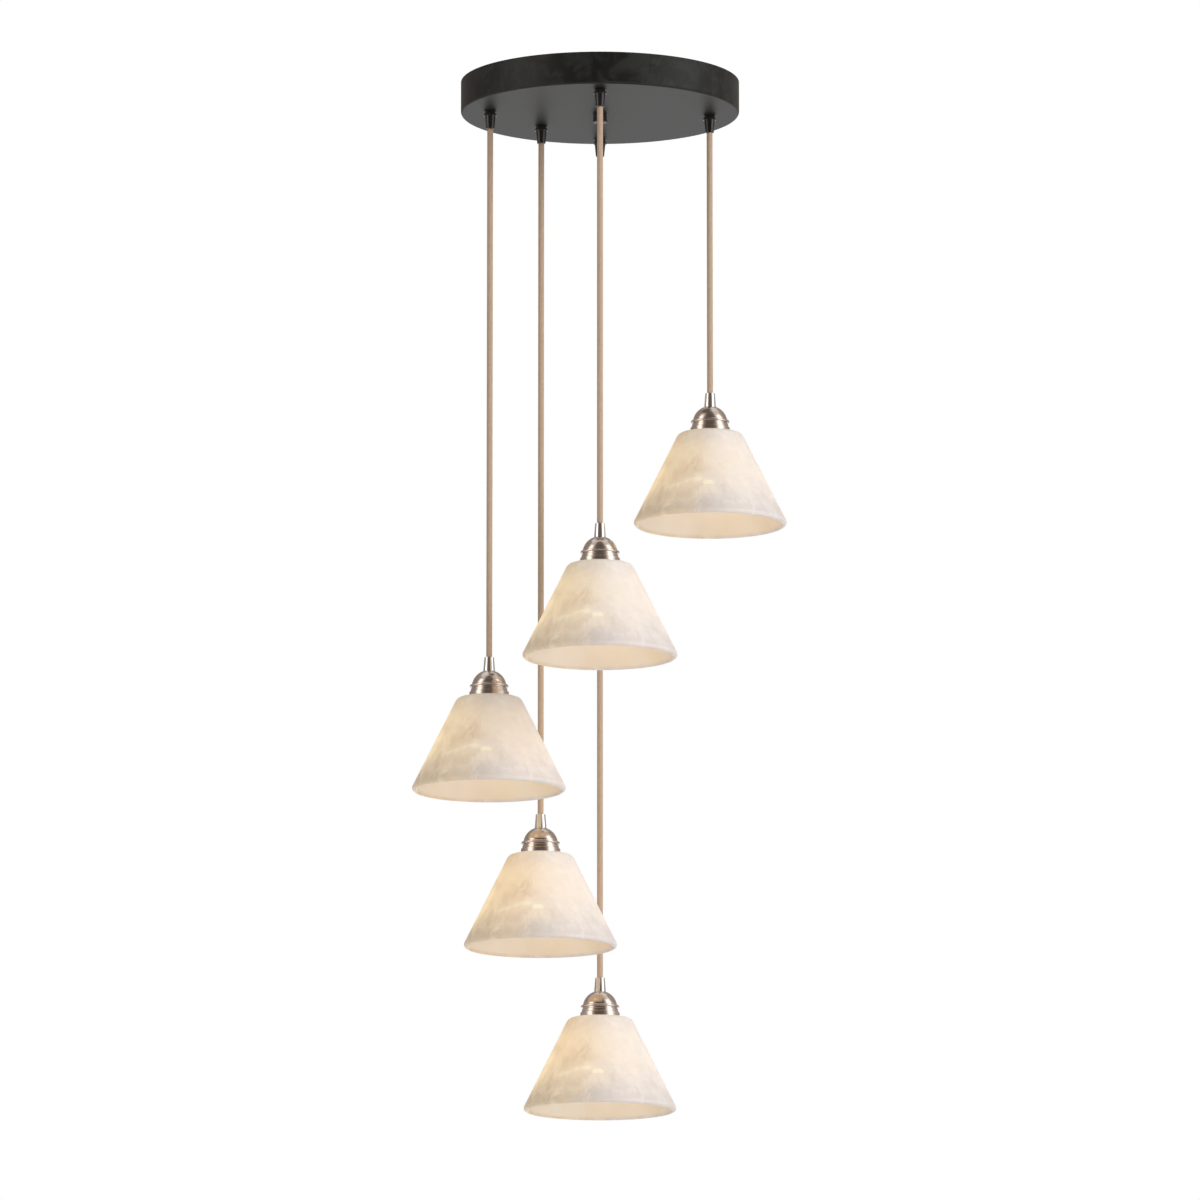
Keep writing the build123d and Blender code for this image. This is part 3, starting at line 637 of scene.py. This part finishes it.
@dataclass(frozen=True)
class Finish:
    """A material made from one shared effect.

    Attributes:
        name: The material's name.
        dark: The darker colour.
        light: The lighter colour.
        smooth: The lowest roughness.
        rough: The highest roughness.
        metallic: 1 for bare metal, and 0 for anything else.
        cloud: Clouds for each metre.
        grain: Grains or lines for each metre.
        bump: How deep the grain is, in metres.
        specular: The shader's specular level.
    """

    name: str
    dark: Colour = BLACK
    light: Colour = WHITE
    smooth: float = 0.3
    rough: float = 0.5
    metallic: float = 0.0
    cloud: float = 40.0
    grain: float = 1500.0
    bump: float = 0.00002
    specular: float = 0.5

    @property
    def tones(self) -> dict[str, Colour]:
        """The colours as a group takes them."""
        return {"Dark": self.dark, "Light": self.light}

    def effect(self, effects: Effects) -> tuple[bpy.types.NodeTree, dict]:
        """Gives the effect's group, and values for its inputs."""
        return effects.mottle, {**self.tones, "Cloud Scale": self.cloud, "Grain Scale": self.grain,
                                "Smooth": self.smooth, "Rough": self.rough}

    def coordinates(self, sheet: NodeSheet, centre: Vector) -> Socket:
        """Gives object coordinates counted from a point."""
        return sheet.place_from(centre)

    def build(self, effects: Effects, centre: Vector, suffix: str) -> bpy.types.Material:
        """Builds the material.

        Args:
            effects: The shared groups.
            centre: The point that its pattern is centred on.
            suffix: What its name ends with.

        Returns:
            The material.
        """
        material, sheet = new_material(self.name + suffix)
        group, values = self.effect(effects)
        values["Vector"] = self.coordinates(sheet, centre)
        pattern = sheet.node("ShaderNodeGroup", values, node_tree=group)
        bump = sheet.node("ShaderNodeBump", {"Height": pattern.outputs["Height"], "Distance": self.bump})
        shader = sheet.node("ShaderNodeBsdfPrincipled", {
            "Base Color": pattern.outputs["Colour"],
            "Roughness": pattern.outputs["Roughness"],
            "Normal": bump.outputs[0],
            "Metallic": self.metallic,
            "Specular IOR Level": self.specular,
            **self.extras(sheet, pattern),
        })
        sheet.node("ShaderNodeOutputMaterial", {"Surface": shader.outputs[0]})
        return material

    def extras(self, sheet: NodeSheet, pattern: bpy.types.Node) -> dict:
        """Gives the shader's inputs that only this kind of finish has. A plain finish has none."""
        return {}


@dataclass(frozen=True)
class TurnedMetal(Finish):
    """Metal with fine lines round an upright axis."""

    metallic: float = 1.0
    grain: float = 2500.0

    def effect(self, effects: Effects) -> tuple[bpy.types.NodeTree, dict]:
        """Gives the turned lines' group and its values."""
        return effects.turned, {**self.tones, "Lines": self.grain, "Smooth": self.smooth,
                                "Rough": self.rough}


@dataclass(frozen=True)
class PanCoat(Finish):
    """Satin paint of the canopy, cloudy on its side only, with a painted glow that only reflections show.

    Attributes:
        painted_reflection_glow: Painted light: a glow that only glossy rays see, so the pan looks lighter
            in a reflection, where a dark patch would spoil a bright cap.
    """

    painted_reflection_glow: Colour = (0.13, 0.11, 0.095)

    def effect(self, effects: Effects) -> tuple[bpy.types.NodeTree, dict]:
        """Gives the pan coat's group and its values."""
        return effects.pan_coat, super().effect(effects)[1]

    def extras(self, sheet: NodeSheet, pattern: bpy.types.Node) -> dict:
        """Paints a glow on the pan that only glossy rays see, which lifts its tone in reflections."""
        glossy = sheet.node("ShaderNodeLightPath").outputs["Is Glossy Ray"]
        return {"Emission Color": sheet.mix(glossy, BLACK, self.painted_reflection_glow), "Emission Strength": 1.0}


@dataclass(frozen=True)
class Cloth(Finish):
    """Woven cloth over a solid with no map of its own: its weave follows object coordinates.

    Attributes:
        sheen: How strong the yarn's soft sheen is.
        sheen_roughness: How wide that sheen spreads.
    """

    grain: float = 620.0
    bump: float = 0.00025
    sheen: float = 0.25
    sheen_roughness: float = 0.5

    def effect(self, effects: Effects) -> tuple[bpy.types.NodeTree, dict]:
        """Gives the weave's group and its colours."""
        return effects.weave, self.tones

    def coordinates(self, sheet: NodeSheet, centre: Vector) -> Socket:
        """Gives object coordinates counted in yarns."""
        return sheet.remap(super().coordinates(sheet, centre), Scale=(self.grain,) * 3)

    def extras(self, sheet: NodeSheet, pattern: bpy.types.Node) -> dict:
        """Gives the yarn its soft sheen."""
        return {"Sheen Weight": self.sheen, "Sheen Roughness": self.sheen_roughness}


@dataclass(frozen=True)
class BraidedCloth(Cloth):
    """Braided sleeve whose yarns follow the cord's own map.

    Attributes:
        yarns: Yarns round the cord.
    """

    yarns: float = 12.0

    def coordinates(self, sheet: NodeSheet, centre: Vector) -> Socket:
        """Gives the cord's map, counted in yarns round and along."""
        place = sheet.node("ShaderNodeUVMap", uv_map=CordSleeve.MAP).outputs[0]
        return sheet.remap(place, Scale=(self.yarns, self.yarns, 1.0))


@dataclass(frozen=True)
class Lamplit(Finish):
    """Smooth body that also gives light of one colour.

    Attributes:
        light_colour: The light's colour.
        strength: How strong the light is.
    """

    light_colour: Colour = (1.0, 0.80, 0.52)
    strength: float = 1.0

    def extras(self, sheet: NodeSheet, pattern: bpy.types.Node) -> dict:
        """Lights the body."""
        return {"Emission Color": self.light_colour, "Emission Strength": self.strength}


@dataclass(frozen=True)
class Alabaster(Finish):
    """Thick cloudy stone of a shade, with a painted glow for the light coming through it. Its colours are
    its group's own.

    Attributes:
        depth: Share of the light that goes under the surface.
        scatter: How far that light spreads, in metres.
        spread: How far red, green and blue go, as shares of that.
    """

    bump: float = 0.00006
    specular: float = 0.35
    depth: float = 0.25
    scatter: float = 0.006
    spread: Colour = (1.0, 0.75, 0.5)

    def effect(self, effects: Effects) -> tuple[bpy.types.NodeTree, dict]:
        """Gives the stone's group."""
        return effects.stone, {}

    def extras(self, sheet: NodeSheet, pattern: bpy.types.Node) -> dict:
        """Gives the painted glow that stands for the light coming through, and the scattering under the
        surface.
        """
        return {"Emission Color": pattern.outputs["Glow Colour"], "Emission Strength": 1.0,
                "Subsurface Weight": self.depth, "Subsurface Radius": self.spread,
                "Subsurface Scale": self.scatter}


class Finishes(Enum):
    """Every finish of the lamp."""

    CANOPY = PanCoat("satin_black_steel", (0.006, 0.006, 0.005), (0.021, 0.021, 0.0185),
                     smooth=0.46, rough=0.52, cloud=52.0, grain=2600.0, bump=0.000012, specular=0.24)
    CAP_NUT = Finish("black_cap_nut", (0.008, 0.008, 0.008), (0.014, 0.014, 0.013), smooth=0.25, rough=0.4)
    BLACK_GRIP = Finish("black_moulded_plastic", (0.006, 0.006, 0.006), (0.012, 0.012, 0.012),
                        smooth=0.16, rough=0.3, grain=1800.0)
    ZINC = Finish("zinc_plated_steel", (0.42, 0.42, 0.40), (0.66, 0.66, 0.63), smooth=0.25, rough=0.48,
                  metallic=1.0, cloud=120.0)
    GREEN_SCREW = Finish("green_ground_screw", (0.01, 0.16, 0.04), (0.02, 0.26, 0.07))
    WIRE = Finish("white_wire_sheath", (0.66, 0.66, 0.63), (0.82, 0.82, 0.79), smooth=0.3, rough=0.45)
    SPLICE = Finish("yellow_wire_connector", (0.62, 0.38, 0.02), (0.86, 0.58, 0.05),
                    smooth=0.25, rough=0.42)
    POLISHED = TurnedMetal("polished_grip", (0.78, 0.76, 0.74), (0.86, 0.85, 0.83), smooth=0.04,
                           rough=0.1, grain=3500.0, bump=0.0000006)
    NICKEL = TurnedMetal("brushed_nickel", (0.56, 0.47, 0.41), (0.70, 0.61, 0.545), smooth=0.19,
                         rough=0.27, grain=3200.0, bump=0.0000016)
    BRASS = TurnedMetal("screw_shell_brass", (0.58, 0.40, 0.16), (0.78, 0.58, 0.28), smooth=0.2, rough=0.38,
                        bump=0.000003)
    BULB_METAL = TurnedMetal("bulb_base_metal", (0.60, 0.59, 0.57), (0.80, 0.79, 0.77), smooth=0.18,
                             rough=0.34, bump=0.000003)
    HOLDER = Finish("white_lampholder", (0.70, 0.68, 0.63), (0.84, 0.82, 0.77), smooth=0.25, rough=0.4)
    BULB = Lamplit("frosted_bulb", (0.90, 0.86, 0.78), (0.97, 0.94, 0.88), smooth=0.3, rough=0.42,
                   grain=3000.0, bump=0.000006, strength=0.6)
    STONE = Alabaster("alabaster")
    CORD_END = Cloth("cord_cloth", (0.37, 0.24, 0.15), (0.76, 0.56, 0.40))
    CORD = BraidedCloth("braided_cord_cloth", (0.37, 0.24, 0.15), (0.76, 0.56, 0.40))


# ---- The lamp ----


def place_mesh(name: str, shape: bmesh.types.BMesh) -> bpy.types.Object:
    """Makes an object of a finished shape, and frees the shape.

    Args:
        name: The object's name.
        shape: The shape, in its place.

    Returns:
        The object, in the scene.
    """
    mesh = bpy.data.meshes.new(name)
    shape.to_mesh(mesh)
    shape.free()
    piece = bpy.data.objects.new(name, mesh)
    bpy.context.scene.collection.objects.link(piece)
    return piece


def coat(piece: bpy.types.Object, material: bpy.types.Material) -> None:
    """Puts one material on all of a piece's slots.

    Args:
        piece: A mesh object.
        material: Its material.
    """
    if not piece.material_slots:
        piece.data.materials.append(material)
    for slot in piece.material_slots:
        slot.material = material
    LOG.info("%s: %s", piece.name, material.name)


@dataclass(frozen=True)
class Hanger:
    """Where one pendant hangs.

    Attributes:
        number: The pendant's number.
        direction: Its direction from the canopy's middle, in degrees from +X.
        inset: How far it hangs inside the canopy's edge.
        drop: How far the mouth of its polished grip is below the ceiling.
        canopy_radius: Radius of the canopy's edge.
        grip_nose: Height of the black grip's nose, where the cord comes out.
        mouth_height: Height of the polished grip's mouth over the shade's flat top.
    """

    number: int
    direction: float
    inset: float
    drop: float
    canopy_radius: float = 0.165
    grip_nose: float = -0.0584
    mouth_height: float = 0.0477

    def point(self, height: float) -> Vector:
        """Gives the point of the pendant's axis at a height.

        Args:
            height: The height.

        Returns:
            The point.
        """
        turn = math.radians(self.direction)
        distance = self.canopy_radius - self.inset
        return Vector((distance * math.cos(turn), distance * math.sin(turn), height))

    @property
    def shade_top(self) -> Vector:
        """The middle of the shade's flat top."""
        return self.point(-self.drop - self.mouth_height)


HANGERS = (
    Hanger(1, 4.4, 0.0346, 0.3735),
    Hanger(2, 270.0, 0.0340, 0.5555),
    Hanger(3, 185.3, 0.0344, 0.6935),
    Hanger(4, 135.8, 0.0674, 0.8675),
    Hanger(5, 90.0, 0.0250, 1.0520),
)


@dataclass
class CordSleeve:
    """Cloth-covered cord that hangs straight between its two grips.

    Attributes:
        hanger: Where it hangs.
        diameter: Its diameter.
        tuck: Depths of the rings that round its lower end, inside the mouth of the polished grip.
        bend: How far below the black grip its route has a middle control point, where the real cord bends
            when the lamp swings.
        sides: Sides of its section.
        fineness: Points of its route to each control point.
    """

    MAP = "yarns"

    hanger: Hanger
    diameter: float = 0.007
    tuck: tuple[float, ...] = (0.0010, 0.0018, 0.0025, 0.0030)
    bend: float = 0.040
    sides: int = 24
    fineness: int = 24

    def route(self) -> list[Vector]:
        """Reads the points of the cord's line from its spline.

        Returns:
            Points from the black grip down to the polished one, and a few more inside that one's mouth.
        """
        top = self.hanger.point(self.hanger.grip_nose)
        bottom = self.hanger.point(-self.hanger.drop)
        curve = bpy.data.curves.new("route", "CURVE")
        curve.dimensions = "3D"
        spline = curve.splines.new("NURBS")
        knee = top + Vector((0.0, 0.0, -self.bend))
        controls = [top, knee, bottom]
        spline.points.add(len(controls) - 1)
        for point, control in zip(spline.points, controls):
            point.co = (*control, 1.0)
        spline.order_u = 3
        spline.use_endpoint_u = True
        spline.resolution_u = self.fineness
        carrier = bpy.data.objects.new("route", curve)
        bpy.context.scene.collection.objects.link(carrier)
        bpy.context.view_layer.update()
        evaluated = carrier.evaluated_get(bpy.context.evaluated_depsgraph_get())
        line = bpy.data.meshes.new_from_object(evaluated)
        points = [vertex.co.copy() for vertex in line.vertices]
        bpy.data.objects.remove(carrier)
        bpy.data.curves.remove(curve)
        bpy.data.meshes.remove(line)
        return points + [bottom - Vector((0.0, 0.0, depth)) for depth in self.tuck]

    def radius(self, point: Vector) -> float:
        """Gives the cord's radius, which rounds off below the point that the lamp tilts on."""
        depth = max(0.0, -self.hanger.drop - point.z)
        return math.sqrt((self.diameter / 2) ** 2 - depth ** 2)

    def shell(self, points: list[Vector]) -> bmesh.types.BMesh:
        """Pulls a ring down along the points, and narrows it where it rounds off.

        Args:
            points: The cord's line.

        Returns:
            A closed tube with its map: once round for each unit across, and as long along.
        """
        tube = bmesh.new()
        ring = bmesh.ops.create_circle(tube, segments=self.sides, radius=self.diameter / 2)["verts"]
        bmesh.ops.translate(tube, verts=ring, vec=points[0])
        edges = list(tube.edges)
        bmesh.ops.contextual_create(tube, geom=edges)
        for before, after in zip(points, points[1:]):
            pulled = bmesh.ops.extrude_edge_only(tube, edges=edges)["geom"]
            corners = [g for g in pulled if isinstance(g, bmesh.types.BMVert)]
            edges = [g for g in pulled if isinstance(g, bmesh.types.BMEdge)]
            bmesh.ops.translate(tube, verts=corners, vec=after - before)
            share = self.radius(after) / self.radius(before)
            about = Matrix.Translation(-after)
            bmesh.ops.scale(tube, verts=corners, vec=(share, share, 1.0), space=about)
        bmesh.ops.contextual_create(tube, geom=edges)
        bmesh.ops.recalc_face_normals(tube, faces=tube.faces)
        self.map_yarns(tube)
        return tube

    def map_yarns(self, tube: bmesh.types.BMesh) -> None:
        """Writes the cord's map.

        Args:
            tube: The tube, whose map is added.
        """
        layer = tube.loops.layers.uv.new(self.MAP)
        axis = self.hanger.point(0.0)
        girth = math.pi * self.diameter
        for face in tube.faces:
            face.smooth = len(face.verts) == 4
            middle = face.calc_center_median() - axis
            here = math.atan2(middle.y, middle.x)
            for loop in face.loops:
                spot = loop.vert.co - axis
                turn = math.atan2(spot.y, spot.x) - here
                turn = (turn + math.pi) % math.tau - math.pi
                loop[layer].uv = ((here + turn) / math.tau, -spot.z / girth)

    def build(self, material: bpy.types.Material) -> bpy.types.Object:
        """Args:
            material: Its cloth.

        Returns:
            The cord's object.
        """
        number = self.hanger.number
        points = self.route()
        piece = place_mesh(f"braided_cord_{number}", self.shell(points))
        coat(piece, material)
        start = self.hanger.point(self.hanger.grip_nose)
        end = self.hanger.point(self.hanger.grip_nose - self.bend)
        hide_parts(f"cord_{number}")
        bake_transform(piece)
        return piece


@dataclass
class Canopy:
    """The canopy and what is fixed to it: solids of the frame with their finishes.

    Attributes:
        centre: The point that its patterns are centred on.
        finishes: The finish of each solid.
    """

    centre: Vector = field(default_factory=Vector)
    finishes: dict[str, Finishes] = field(default_factory=lambda: {
        "canopy_pan": Finishes.CANOPY,
        "crossbar": Finishes.ZINC,
        "ground_screw": Finishes.GREEN_SCREW,
        "center_nipple": Finishes.ZINC,
        "canopy_finial": Finishes.CAP_NUT,
        "locknuts": Finishes.ZINC,
        "cord_grips": Finishes.BLACK_GRIP,
        "cord_tails": Finishes.CORD_END,
        "lead_wires": Finishes.WIRE,
        "wire_connectors": Finishes.SPLICE,
    })

    def dress(self, nodes: dict[str, bpy.types.Object], effects: Effects) -> None:
        """Gives each of the frame's solids its material."""
        for name, finish in self.finishes.items():
            coat(nodes[name], finish.value.build(effects, self.centre, f"_{name}"))


@dataclass
class Lamp:
    """One hanging lamp: its cord, cap, shade and bulb.

    Attributes:
        hanger: Where it hangs.
        finishes: The finish of each solid but the shade, whose material has a shorter name.
    """

    hanger: Hanger
    finishes: dict[str, Finishes] = field(default_factory=lambda: {
        "cap_grip": Finishes.POLISHED,
        "socket_cap": Finishes.NICKEL,
        "lampholder": Finishes.HOLDER,
        "screw_shell": Finishes.BRASS,
        "lamp_lead": Finishes.CORD_END,
        "shade_ring": Finishes.HOLDER,
        "bulb_base": Finishes.BULB_METAL,
        "bulb_glass": Finishes.BULB,
    })

    def dress(self, nodes: dict[str, bpy.types.Object], effects: Effects) -> None:
        """Builds the cord and gives each solid its material.

        Args:
            nodes: The frame's solids by name.
            effects: The shared groups.
        """
        number = self.hanger.number
        centre = self.hanger.shade_top
        CordSleeve(self.hanger).build(Finishes.CORD.value.build(effects, centre, f"_{number}"))
        coat(nodes[f"shade_{number}"], Finishes.STONE.value.build(effects, centre, f"_{number}"))
        for name, finish in self.finishes.items():
            coat(nodes[f"{name}_{number}"], finish.value.build(effects, centre, f"_{name}_{number}"))


# ---- The studio ----


@dataclass
class Viewpoint:
    """Long lens that looks a little up at the lamp, as the photograph does.

    Attributes:
        distance: From the lens to the point that it looks at.
        rise: How far up it looks, in degrees.
        aim: Height of the point that it looks at.
        focal_pixels: Focal length in pixels of the photograph's frame.
        frame_pixels: Width of that frame.
        sensor: Width of the sensor, in millimetres.
        sight: How far it sees.
    """

    distance: float = 12.0
    rise: float = 10.0
    aim: float = -0.6229
    focal_pixels: float = 10204.0
    frame_pixels: float = 1200.0
    sensor: float = 36.0
    sight: float = 100.0

    def build(self) -> None:
        """Builds the camera and makes it the scene's."""
        lens = bpy.data.cameras.new("viewpoint")
        lens.sensor_width = self.sensor
        lens.lens = self.sensor * self.focal_pixels / self.frame_pixels
        lens.clip_end = self.sight
        camera = bpy.data.objects.new("viewpoint", lens)
        up = math.radians(self.rise)
        camera.location = (0.0, -self.distance * math.cos(up), self.aim - self.distance * math.sin(up))
        camera.rotation_euler = (math.radians(90.0) + up, 0.0, 0.0)
        bpy.context.scene.collection.objects.link(camera)
        bpy.context.scene.camera = camera


@dataclass(frozen=True)
class Screen:
    """Upright curved screen round the object, which only gloss sees.

    Attributes:
        name: Its name.
        start: Bearing of its first edge, in degrees to the right of the lens.
        end: Bearing of its last edge.
        low: Elevation of its lower edge as the object's middle sees it, in degrees.
        high: Elevation of its upper edge.
        light: The light that it gives.
        distance: Its radius.
        facet: The widest that one of its flat faces is, in degrees.
    """

    name: str
    start: float
    end: float
    low: float
    high: float
    light: Colour
    distance: float = 5.0
    facet: float = 6.0

    def height(self, elevation: float) -> float:
        """Gives the height at which the screen has an elevation."""
        return MIDDLE_HEIGHT + self.distance * math.tan(math.radians(elevation))

    def build(self) -> None:
        """Builds the screen."""
        wall = bmesh.new()
        foot = wall.verts.new((0.0, -self.distance, self.height(self.low)))
        head = wall.verts.new((0.0, -self.distance, self.height(self.high)))
        edge = wall.edges.new((foot, head))
        start = Matrix.Rotation(math.radians(self.start), 3, "Z")
        bmesh.ops.rotate(wall, verts=wall.verts, matrix=start)
        turn = self.end - self.start
        bmesh.ops.spin(wall, geom=[foot, head, edge], axis=(0.0, 0.0, 1.0), angle=math.radians(turn),
                       steps=max(2, math.ceil(turn / self.facet)))
        screen = place_mesh(self.name, wall)
        material, sheet = new_material(self.name)
        bright = sheet.node("ShaderNodeEmission", {"Color": self.light})
        sheet.node("ShaderNodeOutputMaterial", {"Surface": bright.outputs[0]})
        coat(screen, material)
        screen.visible_camera = False
        screen.visible_diffuse = False
        screen.visible_shadow = False
        screen.visible_transmission = False


SCREENS = (
    Screen("front_flag", -28.0, 28.0, -30.0, 78.0, (0.140, 0.115, 0.100)),
    Screen("front_left_flag", -44.0, -28.0, -30.0, 76.0, (0.24, 0.21, 0.19)),
    Screen("front_right_flag", 28.0, 42.0, -30.0, 76.0, (0.28, 0.25, 0.23)),
    Screen("right_panel", 52.0, 80.0, -30.0, 44.0, (2.6, 2.57, 2.53)),
    Screen("right_top_panel", 52.0, 80.0, 44.0, 66.0, (0.80, 0.77, 0.74)),
    Screen("left_panel", -76.0, -52.0, -30.0, 44.0, (2.3, 2.22, 2.13)),
    Screen("left_top_panel", -76.0, -52.0, 44.0, 66.0, (0.70, 0.66, 0.63)),
    Screen("right_flag", 96.0, 172.0, 0.0, 56.0, (0.42, 0.38, 0.35)),
    Screen("left_flag", -172.0, -82.0, 0.0, 56.0, (0.36, 0.32, 0.29)),
    Screen("low_right_flag", 110.0, 150.0, -40.0, -2.0, (0.22, 0.20, 0.18)),
    Screen("low_left_flag", -150.0, -110.0, -40.0, -2.0, (0.22, 0.20, 0.18)),
)


@dataclass(frozen=True)
class SoftLamp:
    """Square soft lamp that faces the object's middle.

    Attributes:
        name: Its name.
        place: Where it stands.
        power: Its power, in watts.
        colour: Its colour.
        size: Its width.
    """

    name: str
    place: Point
    power: float
    colour: Colour
    size: float = 2.4

    def build(self) -> None:
        """Builds the lamp."""
        light = bpy.data.lights.new(self.name, "AREA")
        light.size = self.size
        light.energy = self.power
        light.color = self.colour
        lamp = bpy.data.objects.new(self.name, light)
        lamp.location = self.place
        aim = Vector((0.0, 0.0, MIDDLE_HEIGHT)) - lamp.location
        lamp.rotation_euler = aim.to_track_quat("-Z", "Y").to_euler()
        lamp.visible_glossy = False
        bpy.context.scene.collection.objects.link(lamp)


LAMPS = (
    SoftLamp("key", (4.0, -2.6, 1.0), 106.0, (0.985, 0.99, 1.0)),
    SoftLamp("low_fill", (0.9, -4.0, -2.6), 44.0, (1.0, 0.97, 0.93)),
    SoftLamp("rear_fill", (2.4, 3.8, 0.2), 64.0, (0.99, 0.99, 1.0)),
)


@dataclass
class Studio:
    """Plain pale surroundings: white world, pale floor, soft lamps, and screens for metal to reflect.

    Attributes:
        fill: Strength of the world's light on the object.
        floor_height: Height of the floor, well below the lowest lamp and the lens.
        floor_size: Width of the floor.
        floor_tone: The floor's own colour.
        floor_glow: Strength of its light where the background shows.
        floor_glow_share: Share of that light in its colour there.
    """

    fill: float = 0.46
    floor_height: float = -3.4
    floor_size: float = 40.0
    floor_tone: Colour = (0.9, 0.9, 0.9)
    floor_glow: float = 1.13
    floor_glow_share: float = 0.8

    @staticmethod
    def seen_rays(sheet: NodeSheet) -> Socket:
        """Finds the rays that show the background: those of the camera, of gloss and of glass.

        Args:
            sheet: The sheet that the nodes are added to.

        Returns:
            The socket of a value that is 1 for them.
        """
        rays = sheet.node("ShaderNodeLightPath").outputs
        shown = sheet.most(rays["Is Camera Ray"], rays["Is Glossy Ray"])
        return sheet.most(shown, rays["Is Transmission Ray"])

    def sky(self) -> None:
        """Builds the white world."""
        world = bpy.data.worlds.new("white_studio")
        bpy.context.scene.world = world
        world.use_nodes = True
        world.node_tree.nodes.clear()
        sheet = NodeSheet(world.node_tree)
        strength = sheet.math("MULTIPLY_ADD", self.seen_rays(sheet), 1.0 - self.fill, self.fill)
        backdrop = sheet.node("ShaderNodeBackground", {"Color": WHITE, "Strength": strength})
        sheet.node("ShaderNodeOutputWorld", {"Surface": backdrop.outputs[0]})

    def floor(self) -> None:
        """Builds the pale floor, which is clear from below."""
        slab = bmesh.new()
        bmesh.ops.create_grid(slab, x_segments=1, y_segments=1, size=self.floor_size / 2)
        bmesh.ops.translate(slab, verts=slab.verts, vec=(0.0, 0.0, self.floor_height))
        floor = place_mesh("floor", slab)
        material, sheet = new_material("pale_floor")
        matt = sheet.node("ShaderNodeBsdfDiffuse", {"Color": self.floor_tone})
        bright = sheet.node("ShaderNodeEmission", {"Color": WHITE, "Strength": self.floor_glow})
        share = sheet.times(self.seen_rays(sheet), self.floor_glow_share)
        top = sheet.node("ShaderNodeMixShader", {0: share, 1: matt.outputs[0], 2: bright.outputs[0]})
        clear = sheet.node("ShaderNodeBsdfTransparent")
        below = sheet.node("ShaderNodeNewGeometry").outputs["Backfacing"]
        surface = sheet.node("ShaderNodeMixShader", {0: below, 1: top.outputs[0], 2: clear.outputs[0]})
        sheet.node("ShaderNodeOutputMaterial", {"Surface": surface.outputs[0]})
        coat(floor, material)

    def build(self) -> None:
        """Builds the surroundings."""
        self.sky()
        self.floor()
        for part in LAMPS + SCREENS:
            part.build()


def main() -> None:
    """Builds the view, the cords, the lamps, the canopy and the studio, in that order."""
    logging.basicConfig(level=logging.INFO, format="%(name)s %(message)s")
    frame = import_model()
    Viewpoint().build()
    effects = Effects()
    for hanger in HANGERS:
        Lamp(hanger).dress(frame["nodes"], effects)
    Canopy().dress(frame["nodes"], effects)
    Studio().build()
    bpy.context.scene.view_settings.view_transform = "Standard"
    bpy.context.view_layer.update()


if __name__ == "__main__":
    main()
